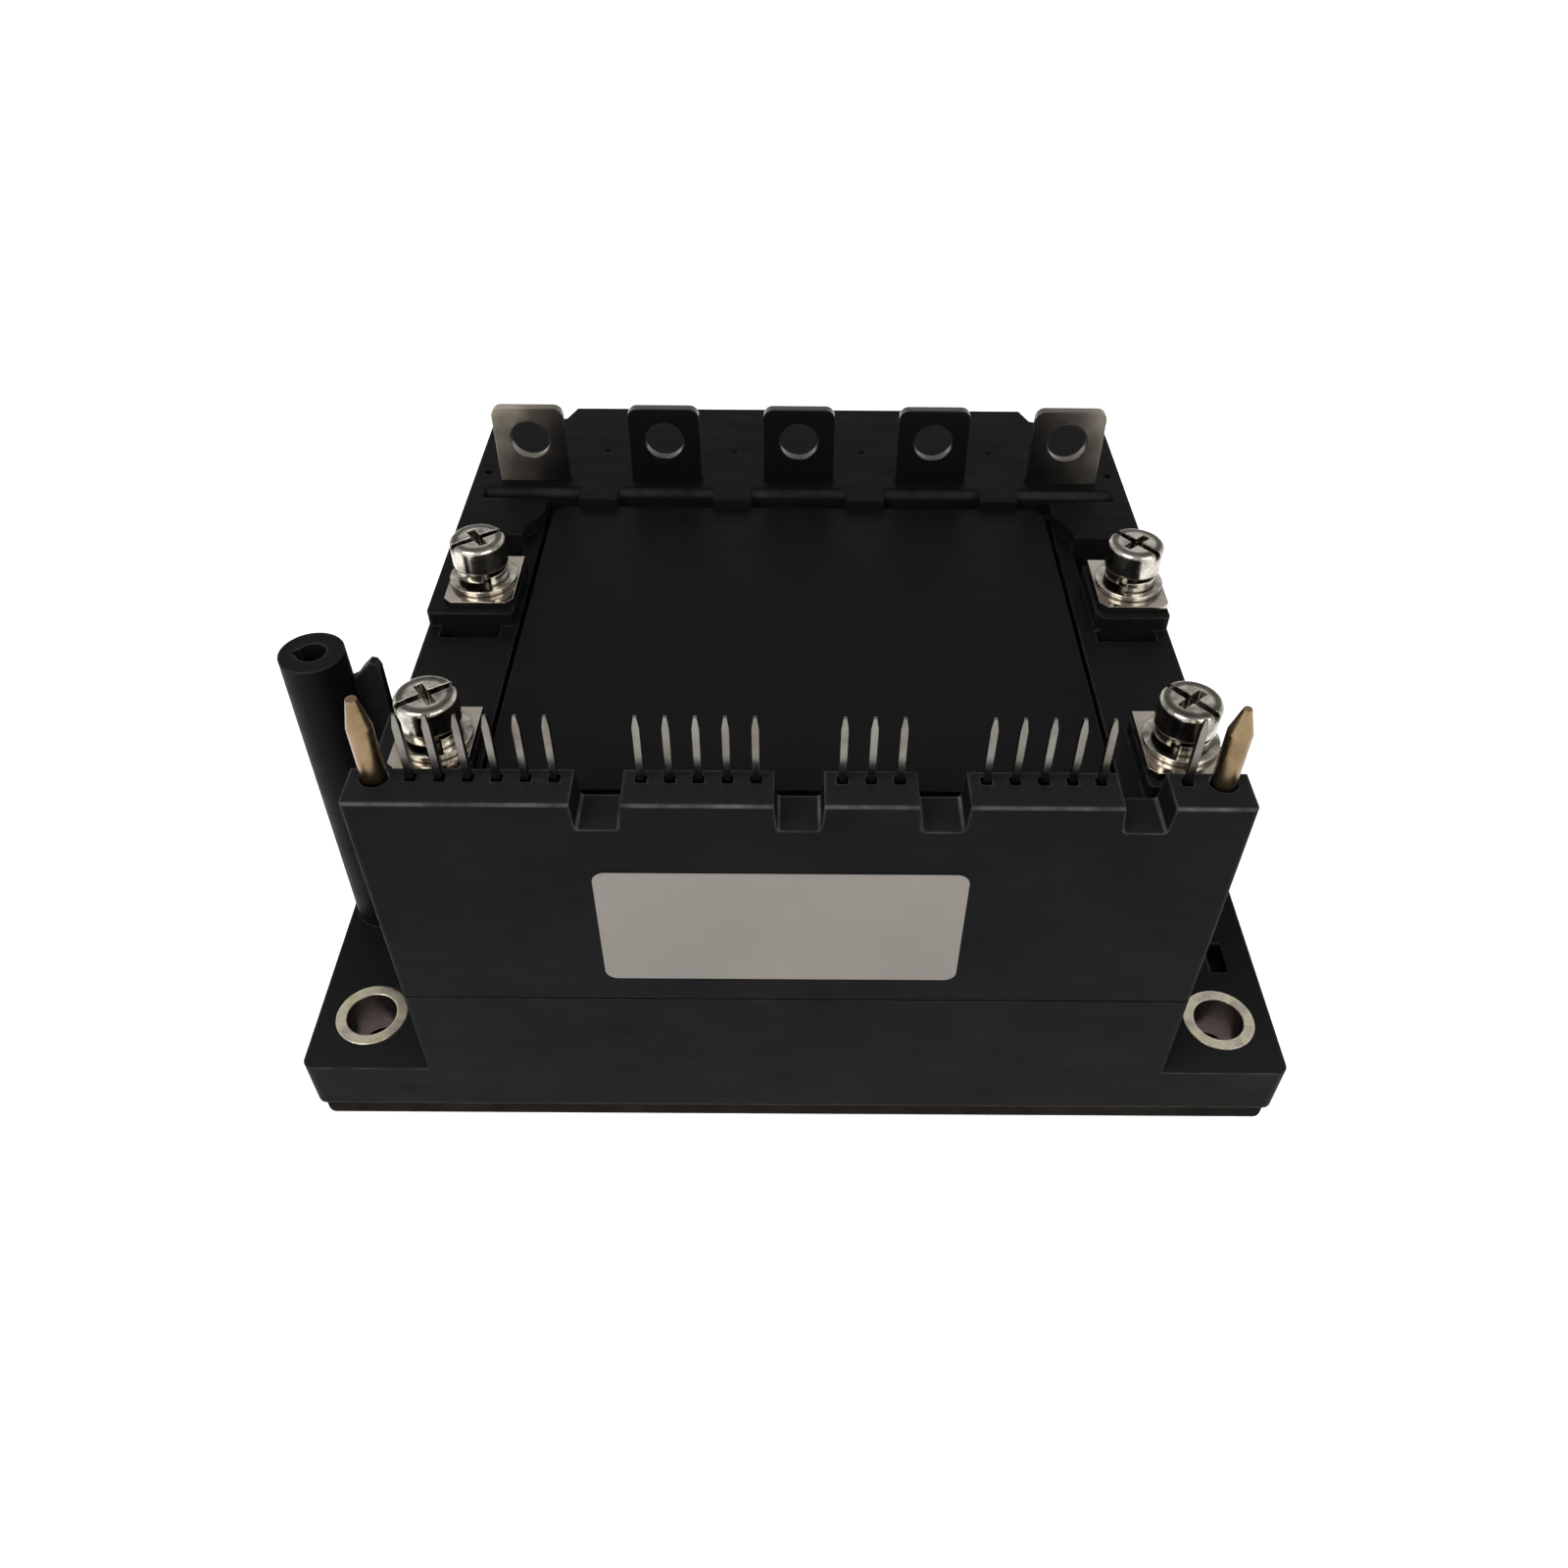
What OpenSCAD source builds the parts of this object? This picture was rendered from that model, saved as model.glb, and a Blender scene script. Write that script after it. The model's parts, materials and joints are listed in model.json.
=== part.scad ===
// Power module with built-in drive electronics: a moulded case on a metal
// baseplate, a row of control pins along its front wall, four screw
// terminals at its sides and five upright blade terminals at its back.
// Millimetres, +Z up, origin on the underside below the middle of the flange.
// The front wall faces -Y.

/* [Mounting holes] */
// Spacing of the mounting holes, left to right
hole_l = 95; // [93:0.5:97]
// Spacing of the mounting holes, front to back
hole_d = 74; // [72:0.5:75]
// Diameter of the mounting holes
hole_bore = 5.5; // [4.5:0.1:6]
// Outer diameter of the bushes in the mounting holes
bush_od = 7.9; // [7.2:0.1:8.4]
// How far the bushes stand above the flange
bush_proud = 0.1; // [0:0.05:0.3]

/* [Flange and baseplate] */
// Distance from a mounting hole to the flange's end
hole_edge_l = 6; // [5:0.1:7]
// Distance from a mounting hole to the flange's front or back edge
hole_edge_d = 7; // [6:0.1:8]
// Height of the flange's top above the underside
flange_z = 9.2; // [8.6:0.1:10]
// Radius of the flange's upright corners
flange_r = 1.2; // [0.4:0.1:2.5]
// Distance from the flange's right end to the small pit in its top
flange_pit_in = 5.2; // [4.8:0.1:6]
// Distance from the front of the case to the pit
flange_pit_y = 13.7; // [12.5:0.1:15]
// Length of the pit, left to right
flange_pit_l = 2; // [1:0.1:2.4]
// Depth of the pit, front to back
flange_pit_d = 4.2; // [3:0.1:5]
// Depth of the pit below the flange's top
flange_pit_h = 2; // [1:0.1:3]
// Thickness of the baseplate
plate_t = 3; // [2.6:0.1:3.5]
// Height of the case's lower edge above the underside
case_z = 2.5; // [2:0.1:2.8]
// How far the baseplate's edge lies inside the flange's edge
plate_inset = 1; // [0.8:0.1:2]

/* [Case] */
// Gap between a mounting bush and the side of the body
bush_gap = 3.7; // [3.4:0.1:4]
// Depth of the body, front to back
body_d = 78.2; // [77:0.2:82]
// Thickness of the case's walls
wall = 2.4; // [2:0.1:2.6]
// Height of the seam between the lower case and the upper housing
seam_z = 22.3; // [18:0.1:26]
// Height of the seam's open gap
seam_gap = 0.2; // [0.1:0.05:0.4]
// Height of the tongue that locates the upper housing
tongue_h = 1.2; // [0.8:0.1:2]
// Height of the deck beside the lid
deck_z = 44.5; // [43.5:0.1:46]
// Height of the raised deck at the back
rear_deck_z = 46.2; // [46:0.1:48]
// Thickness of the decks
deck_t = 3; // [2.5:0.1:3.5]
// Distance from the front of the case to the raised deck
rear_deck_y = 55.7; // [55:0.1:57]
// Length of the cut-back at each rear corner
corner_l = 9.4; // [6:0.1:10]
// Depth of the cut-back at each rear corner
corner_d = 7.5; // [5:0.1:8]
// Depth of the steep flank between the cut-back and the back face
corner_flank = 3.3; // [2:0.1:4]
// Radius of the small edge rounds
edge_r = 0.4; // [0.2:0.05:0.6]
// Radius of the rounded lip behind each pocket in the raised deck
lip_r = 1.1; // [0.5:0.1:1.4]
// Diameter of the two blind holes in the raised deck
blind_d = 1.1; // [0.8:0.1:1.3]
// Depth of the two blind holes
blind_h = 2; // [1:0.1:2.4]
// Distance from the side of the body to a blind hole
blind_in = 1.6; // [1.2:0.1:2]
// Distance of the blind holes behind the blades' front
blind_back = 1.8; // [1:0.1:2.4]
// Diameter of the shallow dimples in the raised deck
dimple_d = 0.8; // [0.5:0.1:1.2]
// Depth of the dimples
dimple_h = 0.3; // [0.1:0.1:0.6]
// Distance of the dimples behind the blades' front
dimple_back = 7.2; // [6:0.1:8]

/* [Lid] */
// Distance from the front of the case to the lid's front edge
lid_y = 7.5; // [7:0.1:9]
// Height of the lid's top
lid_z = 45.1; // [44.6:0.1:45.6]
// Thickness of the lid
lid_t = 2; // [1.5:0.1:2.4]
// Gap round the lid
lid_gap = 0.7; // [0.2:0.05:0.8]
// Radius of the lid's corners
lid_r = 2; // [0.5:0.1:3]
// Width of the ridge between the lid's gap and the wells
ridge_w = 1.8; // [1.6:0.1:2]
// Width of the ledge under the lid's edge
lid_ledge = 3; // [2:0.5:4]

/* [Pin header] */
// Height of the header's top
header_z = 49.8; // [49:0.1:51]
// Depth of the header, front to back
header_d = 4.5; // [4.3:0.1:5]
// Width of the slots between the header's blocks
slot_w = 4.4; // [3:0.1:5]
// Depth of the slots between the header's blocks
slot_d = 3.1; // [1.5:0.1:3.5]
// How far each side of a slot slopes in towards its floor
slot_draft = 0.6; // [0.1:0.1:0.8]
// Radius of a slot's lower corners
slot_r = 0.5; // [0.2:0.1:0.8]
// Spacing of the control pins
pin_pitch = 2.54; // [2.5:0.01:2.56]
// Width of a control pin
pin_w = 0.64; // [0.5:0.02:0.7]
// Distance from the front of the case to the control pins' axes
pin_y = 3.38; // [3.2:0.02:3.5]
// How far the control pins reach below the control board
pin_down = 1.4; // [1:0.1:2]
// Height of the control pins' tips
pin_z = 57.1; // [55:0.1:60]
// Length of a control pin's tapered tip
pin_tip = 1.1; // [0.6:0.1:1.6]
// Width of the recess round each control pin
pin_recess_w = 1; // [0.9:0.1:1.5]
// Depth of the recess round each control pin
pin_recess_d = 0.5; // [0.2:0.1:1]
// Diameter of the guide pins
guide_d = 2.25; // [2:0.05:2.4]
// Diameter of the guide pins' shanks, pressed into the header
shank_d = 2.6; // [2.5:0.1:3]
// Height of the chamfer between shank and pin
shank_chamfer = 0.2; // [0.1:0.05:0.4]
// Distance from the side of the body to the guide pins' axes
guide_in = 2.37; // [2.2:0.01:2.5]
// Height of the guide pins' tips
guide_z = 58.4; // [57:0.1:60]
// How much higher the left guide pin's tip stands
guide_lift = 0.4; // [0:0.1:0.8]
// Length of the guide pins' cones
guide_cone = 2.6; // [2:0.1:3.5]
// Diameter of the flat on a guide pin's tip
guide_tip = 0.76; // [0.4:0.02:1.2]
// How much wider the flat on the left guide pin's tip is
guide_blunt = 0.24; // [0:0.02:0.4]
// Depth to which the guide pins are pressed in
guide_sunk = 6; // [4:0.5:7]

/* [Side terminals] */
// Distance from the left side of the body to the left terminals' axes
term_in_left = 5.45; // [5.3:0.05:5.5]
// Distance from the right side of the body to the right terminals' axes
term_in_right = 3.75; // [3.7:0.05:3.9]
// Distance from the front of the case to the front terminals
term_front_y = 11.8; // [11.4:0.1:12.2]
// Distance from the front of the case to the rear terminals
term_rear_y = 37.7; // [37:0.1:38.2]
// Length of a terminal plate, left to right
term_l = 7.4; // [7.2:0.1:7.4]
// Depth of a terminal plate, front to back
term_d = 8.8; // [8:0.1:9]
// Thickness of a terminal plate
term_t = 0.8; // [0.6:0.1:0.8]
// Chamfer at the front corners of a terminal plate
term_chamfer = 0.8; // [0.5:0.1:1.4]
// Width of a terminal's leg
leg_w = 5; // [3:0.1:5.2]
// How far a pedestal stands out in front of its plate
ped_front = 0.9; // [0.4:0.1:1.4]
// How far a pedestal stands out beside its plate, towards the lid
ped_side = 0.1; // [0.05:0.01:0.15]
// Radius of a pedestal's upright corners
ped_r = 0.5; // [0.2:0.1:0.8]
// Width of the wells beside a rear terminal, left to right
well_l = 6.4; // [6:0.1:6.6]
// Thickness of the side of the body beside the wells
side_w = 1.45; // [1.2:0.05:1.8]
// Depth of the well in front of a rear terminal, front to back
well_front = 2; // [1:0.1:3]
// Depth of the well behind a rear terminal, front to back
well_rear = 5.7; // [4:0.1:6.2]
// Depth of the wells below the deck
well_h = 9; // [6:0.5:10]
// Thickness of the wells' walls
well_wall = 1.2; // [1:0.1:1.4]

/* [Terminal screws] */
// Diameter of a screw's thread
screw_d = 3; // [2.5:0.1:3]
// Length of a screw below its head
screw_l = 8; // [7:0.5:8.5]
// Diameter of a screw's head
head_d = 5.9; // [5.5:0.1:6.4]
// Height of a screw's head
head_h = 2.9; // [2.4:0.1:3.2]
// Radius of the round edge of a screw's head
head_r = 0.5; // [0.3:0.1:1]
// Diameter of a flat washer
washer_d = 7.2; // [6.8:0.1:7.4]
// Thickness of a flat washer
washer_t = 0.6; // [0.4:0.1:0.8]
// Thickness of a spring washer
spring_t = 1.1; // [0.8:0.1:1.4]
// How far the split ends of a spring washer stand apart in height
spring_rise = 0.7; // [0.3:0.1:0.8]
// Width across the flats of a captive nut
nut_af = 5.5; // [5:0.1:5.5]
// Thickness of a captive nut
nut_t = 2.4; // [2:0.1:2.8]

/* [Blade terminals] */
// Number of blades
blades = 5;
// Spacing of the blades
blade_pitch = 16.1; // [15.8:0.1:16.2]
// Width of a blade
blade_l = 8.4; // [8:0.1:9]
// Thickness of a blade
blade_t = 1; // [0.8:0.1:1.2]
// Distance from the edge of the raised deck back to the blades
blade_back = 4.1; // [3.8:0.1:5]
// Height of the blades' tops
blade_z = 55.8; // [55:0.1:58]
// Diameter of the hole in a blade
blade_hole = 4.7; // [4.3:0.1:5.1]
// Height of the hole's centre
blade_hole_z = 51.7; // [51:0.1:52.2]
// Radius of a blade's top corners
blade_r = 1.1; // [0.5:0.1:1.5]
// Length of a blade's foot on the copper
blade_foot = 3; // [2:0.1:4]
// Width of the pocket in front of a blade
pocket_l = 11.6; // [10:0.1:12]
// Depth of the pocket, front to back
pocket_d = 1.6; // [1:0.1:2]

/* [Post and fin] */
// Distance from the middle to the post's axis
post_x = 49.2; // [49:0.1:49.5]
// Distance from the front of the case to the post's axis
post_y = 23.5; // [20:0.1:26]
// Height of the post's top
post_z = 47.8; // [44:0.1:52]
// Diameter of the post's top
post_d = 6.6; // [6.2:0.1:6.8]
// Diameter of the post's foot
post_foot = 7.8; // [7.2:0.1:8]
// Diameter of the round side of the teardrop hole in the post
post_hole = 3; // [2.4:0.1:3.4]
// Depth of the hole in the post
post_hole_h = 14; // [8:1:20]
// Thickness of the fin beside the post
fin_t = 1.2; // [1:0.1:1.8]
// Distance from the post's axis to the fin's free edge
fin_l = 6.2; // [5:0.1:7]
// Height of the fin's horn
fin_z = 46; // [40:0.1:47]
// How far the fin's top lies below its horn
fin_drop = 2.4; // [1:0.1:4]
// Width of the fin's horn at its foot
horn_w = 3.5; // [2.5:0.1:4]
// Distance of the fin's middle behind the post's axis
fin_back = 1.1; // [0:0.1:2]

/* [Label] */
// Length of the label
label_l = 34.6; // [28:0.1:40]
// Height of the label
label_h = 15.5; // [12:0.1:18]
// Height of the label's centre
label_z = 33.4; // [32:0.1:35]
// Distance of the label's centre left of the middle
label_x = 1.6; // [0:0.1:4]
// Thickness of the label
label_t = 0.1; // [0.05:0.01:0.2]

/* [Inside] */
// Number of ceramic tiles
tiles = 3;
// Gap between two tiles
tile_gap = 2; // [1.5:0.1:2.4]
// Distance from the walls to the outer tiles
tile_edge = 2.45; // [2:0.05:3]
// Depth of a tile, front to back
tile_d = 56; // [56:0.5:58]
// Distance from the front of the case to the tiles
tile_y = 8; // [7:0.1:8]
// Thickness of a tile
tile_t = 0.64; // [0.38:0.01:1]
// Thickness of the copper on a tile
copper_t = 0.3; // [0.2:0.05:0.5]
// Width of the copper bar that a tile's terminals land on
bar_w = 5; // [5:0.1:5.4]
// Width of a transistor chip
igbt_w = 11; // [9:0.1:11.4]
// Distance from the front of a copper pad to its transistor chip
chip_front = 2; // [1.5:0.1:3]
// Distance from a diode chip to the back of its copper pad
chip_back = 1; // [0.5:0.1:1.5]
// Gap between the two chips on a pad
chip_gap = 1; // [0.5:0.1:1.5]
// Thickness of the chips
chip_t = 0.3; // [0.2:0.05:0.5]
// Width of a bond ribbon
ribbon_w = 1.2; // [0.8:0.1:1.5]
// Thickness of a bond ribbon
ribbon_t = 0.2; // [0.1:0.05:0.3]
// Length of a bond ribbon's feet
ribbon_foot = 1.5; // [1:0.1:1.6]
// Height of a bond ribbon's arch
ribbon_rise = 3; // [2:0.1:3.5]
// Spacing of the bond ribbons on a chip
ribbon_pitch = 3; // [2:0.1:3.5]
// Height of the gel's surface above the baseplate
gel_h = 12; // [9:0.5:14]
// Height of the control board's underside
board_z = 30.5; // [29:0.1:31]
// Thickness of the control board
board_t = 1.6; // [1.2:0.1:1.8]
// Gap between the control board and the terminals' legs
board_gap = 1.7; // [1:0.1:3]
// Depth of the control board
board_d = 50; // [46:0.5:52]
// Depth of the board's wide front strip
board_strip = 5.5; // [4.5:0.1:6]
// Diameter of the signal pins between the tiles and the board
signal_d = 0.8; // [0.6:0.05:1]
// Spacing of the two signal pins of a tile's half
signal_pitch = 10; // [8:0.5:12]
// Length of a driver chip, left to right
driver_l = 8; // [6:0.5:10]
// Depth of a driver chip, front to back
driver_d = 7; // [5:0.5:8]
// Height of a driver chip
driver_h = 2.2; // [1.5:0.1:3]
// Distance of the driver chips behind the middle of the copper pads below them
driver_back = 0.5; // [0:0.1:2]
// Number of capacitors on the board
capacitors = 4;
// Spacing of the capacitors
capacitor_pitch = 13; // [8:0.5:14]
// Diameter of a capacitor
capacitor_d = 5; // [4:0.5:6]
// Height of a capacitor
capacitor_h = 5.5; // [4:0.5:6]
// Distance from the front of the case to the capacitors
capacitor_y = 16.5; // [15:0.5:18]

/* [Hidden] */
// Running clearance between pieces that are slid together
fit = 0.1;
// Clearance round a piece that the case is moulded about
snug = 0.03;
// Overshoot of cutting solids
over = 1;
$fn = 64;

flange_l = hole_l + 2 * hole_edge_l;
flange_d = hole_d + 2 * hole_edge_d;
body_l = hole_l - bush_od - 2 * bush_gap;
front = -flange_d / 2;
back = front + body_d;
half_l = body_l / 2;
cavity_l = body_l - 2 * wall;
well_x = half_l - side_w - well_l;
lid_l = 2 * (well_x - ridge_w - lid_gap);
lid_back = rear_deck_y - fit;
blade_y = rear_deck_y + blade_back;
lid_floor = lid_z - lid_t;
guide_l = body_l - 2 * guide_in;
pin_slots = [0, 1, 2, 3, 4, 5, 8, 9, 10, 11, 12, 15, 16, 17, 20, 21, 22, 23, 24, 27];
pin_groups = [[0, 5], [8, 12], [15, 17], [20, 24], [27, 27]];
pin_last = 27;
copper_z = plate_t + tile_t;
chip_z = copper_z + copper_t;
term_z = rear_deck_z + term_t;
spring_z = term_z + washer_t;
head_z = spring_z + spring_t + spring_rise;
tile_l = (cavity_l - 2 * tile_edge - (tiles - 1) * tile_gap) / tiles;
pad_margin = 1;
pad_l = tile_l - bar_w - 3 * pad_margin;
rear_bar_d = 6;
pad_d = (tile_d - rear_bar_d - 4 * pad_margin) / 2;
diode_w = pad_d - igbt_w - chip_front - chip_gap - chip_back;
igbt_y = chip_front - (pad_d - igbt_w) / 2;
diode_y = (pad_d - diode_w) / 2 - chip_back;
leg_t = term_t;
nut_corner = nut_af / cos(30);
// room above the chips for the bond ribbons
gel_room = ribbon_rise + 1;
signal_collar = 0.8;

function pin_x(i) = (i - pin_last / 2) * pin_pitch;
function blade_x(i) = (i - (blades - 1) / 2) * blade_pitch;
function tile_x(i) = (i - (tiles - 1) / 2) * (tile_l + tile_gap);
// side: -1 left, +1 right
function term_x(side) = side < 0 ? term_in_left - half_l : half_l - term_in_right;
function leg_x(side) = term_x(side) - side * (term_l - leg_t) / 2;
board_l = 2 * (abs(leg_x(-1)) - leg_t / 2 - board_gap);
// the bar of each tile lies on its outer side
function bar_side(i) = i == 0 ? -1 : 1;
function bar_x(i) = tile_x(i) + bar_side(i) * (tile_l / 2 - pad_margin - bar_w / 2);
function pad_x(i) = tile_x(i) - bar_side(i) * (tile_l / 2 - pad_margin - pad_l / 2);
function pad_y(row) = front + tile_y + pad_margin + pad_d / 2 + row * (pad_d + pad_margin);

// ---------- outlines ----------

module rounded_rect(l, d, r) {
    square([l - 2 * r, d], center = true);
    square([l, d - 2 * r], center = true);
    for (x = [-1, 1], y = [-1, 1])
        translate([x * (l / 2 - r), y * (d / 2 - r)]) circle(r);
}

// plan of the body, pulled in by an equal amount on every side
module body_outline(inset = 0) {
    x1 = half_l - inset;
    x2 = half_l - corner_l - inset;
    x3 = x2 - corner_flank / 3;
    y0 = front + inset;
    y1 = back - corner_d - inset;
    y2 = back - corner_flank - inset;
    y3 = back - inset;
    r = edge_r;
    polygon([[-x1, y0 + r], [-x1 + r, y0], [x1 - r, y0], [x1, y0 + r], [x1, y1], [x2, y2],
        [x3, y3], [-x3, y3], [-x2, y2], [-x1, y1]]);
    for (side = [-1, 1]) translate([side * (x1 - r), y0 + r]) circle(r);
}

// a profile drawn in depth and height, drawn out left to right about the middle
module along_x(l) {
    translate([-l / 2, 0, 0]) rotate([90, 0, 90]) linear_extrude(l) children();
}

// a box centred left to right, given by its front face and its heights
module slab(l, y, d, z0, z1) {
    translate([-l / 2, front + y, z0]) cube([l, d, z1 - z0]);
}

module at_holes() {
    for (x = [-1, 1], y = [-1, 1])
        translate([x * hole_l / 2, y * hole_d / 2, 0]) children();
}

module at_terminals_of(side) {
    for (y = [term_front_y, term_rear_y]) translate([term_x(side), front + y, 0]) children();
}

module at_terminals() for (side = [-1, 1]) at_terminals_of(side) children();

// ---------- base and case ----------

module baseplate() color("burlywood") difference() {
    linear_extrude(plate_t)
        rounded_rect(flange_l - 2 * plate_inset, flange_d - 2 * plate_inset, flange_r);
    at_holes() translate([0, 0, -over]) cylinder(d = hole_bore, h = plate_t + 2 * over);
}

module mounting_bushes() color("khaki") at_holes() translate([0, 0, plate_t]) difference() {
    cylinder(d = bush_od, h = flange_z + bush_proud - plate_t);
    translate([0, 0, -over]) cylinder(d = hole_bore, h = flange_z + 2 * over);
}

// teardrop hole down the middle of the post, its point turned to the left
module post_core() {
    translate([-post_x, front + post_y, post_z - post_hole_h]) linear_extrude(post_hole_h + over) {
        circle(d = post_hole);
        rotate(180) polygon([[0, -post_hole / 2], [post_hole * 0.75, 0], [0, post_hole / 2]]);
    }
}

// upright fin that stands beside the post, with a rounded horn at its free edge
module fin() {
    low = fin_z - fin_drop;
    translate([-post_x, front + post_y + fin_back + fin_t / 2, 0]) rotate([90, 0, 0]) linear_extrude(fin_t)
        polygon([[0, case_z + over], [fin_l, case_z + over], [fin_l, fin_z - horn_w / 4],
            [fin_l - horn_w / 12, fin_z - horn_w / 30], [fin_l - horn_w / 4, fin_z],
            [fin_l - horn_w / 2, fin_z - horn_w / 4], [fin_l - horn_w * 0.75, low + horn_w / 8],
            [fin_l - horn_w, low], [0, low]]);
}

module lower_case() color([0.12, 0.12, 0.13]) {
    difference() {
        union() {
            translate([0, 0, case_z]) linear_extrude(flange_z - case_z)
                rounded_rect(flange_l, flange_d, flange_r);
            translate([0, 0, case_z]) linear_extrude(seam_z - seam_gap - case_z) body_outline();
            translate([0, 0, case_z]) linear_extrude(seam_z + tongue_h - case_z)
                body_outline(wall / 2);
            fin();
            translate([-post_x, front + post_y, flange_z - over])
                cylinder(d1 = post_foot, d2 = post_d, h = post_z - flange_z + over);
        }
        translate([0, 0, case_z - over]) linear_extrude(seam_z + tongue_h + 2 * over)
            body_outline(wall);
        translate([0, 0, case_z - over]) linear_extrude(plate_t - case_z + over)
            rounded_rect(flange_l - 2 * plate_inset + 2 * fit, flange_d - 2 * plate_inset + 2 * fit,
                flange_r);
        at_holes() cylinder(d = bush_od, h = flange_z + over);
        post_core();
        translate([flange_l / 2 - flange_pit_in, front + flange_pit_y, flange_z - flange_pit_h])
            cube([flange_pit_l, flange_pit_d, flange_pit_h + over]);
    }
}

// plan of the block that a terminal plate lies on, from the side of the body
module pedestal_plan(side, y) {
    inner = abs(term_x(side)) - term_l / 2 - ped_side;
    y0 = front + y - term_d / 2 - ped_front;
    l = half_l - inner;
    d = term_d + ped_front;
    scale([side, 1]) translate([inner, y0]) {
        translate([0, ped_r]) square([l, d - ped_r]);
        translate([ped_r, 0]) square([l - 2 * ped_r, d]);
        for (x = [ped_r, l - ped_r]) translate([x, ped_r]) circle(ped_r);
    }
}

// plan of the raised deck: the back of the body, an arm along each side and the pedestals
module raised_plan() {
    arm_y = term_rear_y - term_d / 2;
    for (side = [-1, 1]) scale([side, 1])
        translate([0, front]) polygon([[0, rear_deck_y], [well_x - ridge_w, rear_deck_y],
            [well_x - ridge_w, rear_deck_y - ridge_w * 1.7], [well_x, rear_deck_y - ridge_w * 3.4],
            [well_x, arm_y], [half_l, arm_y], [half_l, body_d], [0, body_d]]);
    for (side = [-1, 1], y = [term_front_y, term_rear_y]) pedestal_plan(side, y);
}

// blocks under the deck, in which the wells, the nuts and the legs' slots are sunk
module well_blocks() {
    for (side = [-1, 1], y = [term_front_y, term_rear_y]) {
        inner = min(well_x, abs(term_x(side)) - term_l / 2) - well_wall;
        y0 = y - term_d / 2 - ped_front - well_front - well_wall;
        d = term_d + ped_front + well_front + well_rear + 2 * well_wall;
        scale([side, 1, 1]) translate([inner, front + y0, deck_z - well_h - well_wall])
            cube([half_l - inner, d, well_h + well_wall]);
    }
}

module wells() {
    y0 = term_rear_y - term_d / 2 - ped_front - well_front;
    for (side = [-1, 1]) scale([side, 1, 1]) translate([well_x, front, deck_z - well_h]) {
        translate([0, y0, 0]) cube([well_l, well_front, well_h + rear_deck_z]);
        translate([0, term_rear_y + term_d / 2, 0]) cube([well_l, well_rear, well_h + rear_deck_z]);
    }
    // slots for the terminals' legs
    for (side = [-1, 1], y = [term_front_y, term_rear_y])
        translate([leg_x(side) - leg_t / 2 - snug, front + y - leg_w / 2 - snug, seam_z])
            cube([leg_t + 2 * snug, leg_w + 2 * snug, rear_deck_z]);
    // pockets for the captive nuts and room for the screws' ends
    at_terminals() {
        translate([0, 0, rear_deck_z - nut_t]) rotate(30)
            cylinder(d = nut_corner + 2 * snug, h = nut_t + over, $fn = 6);
        translate([0, 0, head_z - screw_l - 1]) cylinder(d = screw_d + 0.6, h = screw_l);
    }
}

// header above the front wall, its upper front edge rounded
module header() {
    r = edge_r;
    z0 = deck_z - deck_t;
    y1 = front + header_d;
    intersection() {
        translate([0, 0, z0]) linear_extrude(header_z - z0) body_outline();
        along_x(body_l) {
            polygon([[front, z0], [y1, z0], [y1, header_z], [front + r, header_z], [front, header_z - r]]);
            translate([front + r, header_z - r]) circle(r);
        }
    }
}

// section of a slot, seen from the front: drafted sides, round lower corners
module slot_section() {
    a = atan(slot_draft / slot_d);
    top = slot_w / 2 + over * tan(a);
    c = slot_w / 2 - slot_draft * (1 - slot_r / slot_d) - slot_r / cos(a);
    x = c + slot_r * cos(a);
    y = slot_r - slot_r * sin(a);
    polygon([[-c, 0], [c, 0], [x, y], [top, slot_d + over], [-top, slot_d + over], [-x, y]]);
    for (side = [-1, 1]) translate([side * c, slot_r]) circle(slot_r);
}

module header_cuts() {
    for (i = [0 : len(pin_groups) - 2]) {
        x = pin_x((pin_groups[i][1] + pin_groups[i + 1][0]) / 2);
        translate([x, front + header_d + over, header_z - slot_d]) rotate([90, 0, 0])
            linear_extrude(header_d + 2 * over) slot_section();
    }
    for (i = pin_slots) {
        hole = pin_w + 2 * snug;
        translate([pin_x(i) - hole / 2, front + pin_y - hole / 2, 0]) cube([hole, hole, header_z + over]);
        translate([pin_x(i) - pin_recess_w / 2, front + pin_y - pin_recess_w / 2, header_z - pin_recess_d])
            cube([pin_recess_w, pin_recess_w, pin_recess_d + over]);
    }
    for (side = [-1, 1]) translate([side * guide_l / 2, front + pin_y, header_z - guide_sunk])
        cylinder(d = shank_d, h = guide_sunk + over);
}

// pocket in front of a blade, its back edge rounded over to the raised deck
module pocket() {
    y1 = front + rear_deck_y + pocket_d;
    along_x(pocket_l) {
        translate([front + rear_deck_y - fit, lid_floor]) square([pocket_d + fit, rear_deck_z]);
        difference() {
            translate([y1 - fit, rear_deck_z - lip_r]) square([lip_r + fit, lip_r + over]);
            translate([y1 + lip_r, rear_deck_z - lip_r]) circle(lip_r);
        }
    }
}

module rear_deck_cuts() {
    for (i = [0 : blades - 1]) {
        translate([blade_x(i), 0, 0]) pocket();
        translate([blade_x(i) - blade_l / 2 - snug, front + blade_y - snug, 0])
            cube([blade_l + 2 * snug, blade_t + 2 * snug, rear_deck_z + over]);
    }
    // blind hole beside each outer blade
    for (side = [-1, 1])
        translate([side * (half_l - blind_in), front + blade_y + blind_back, rear_deck_z - blind_h])
            cylinder(d = blind_d, h = blind_h + over);
    // shallow dimples halfway between the blades
    for (i = [0 : blades - 2])
        translate([blade_x(i + 0.5), front + blade_y + dimple_back, rear_deck_z - dimple_h])
            cylinder(d = dimple_d, h = over);
}

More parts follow.
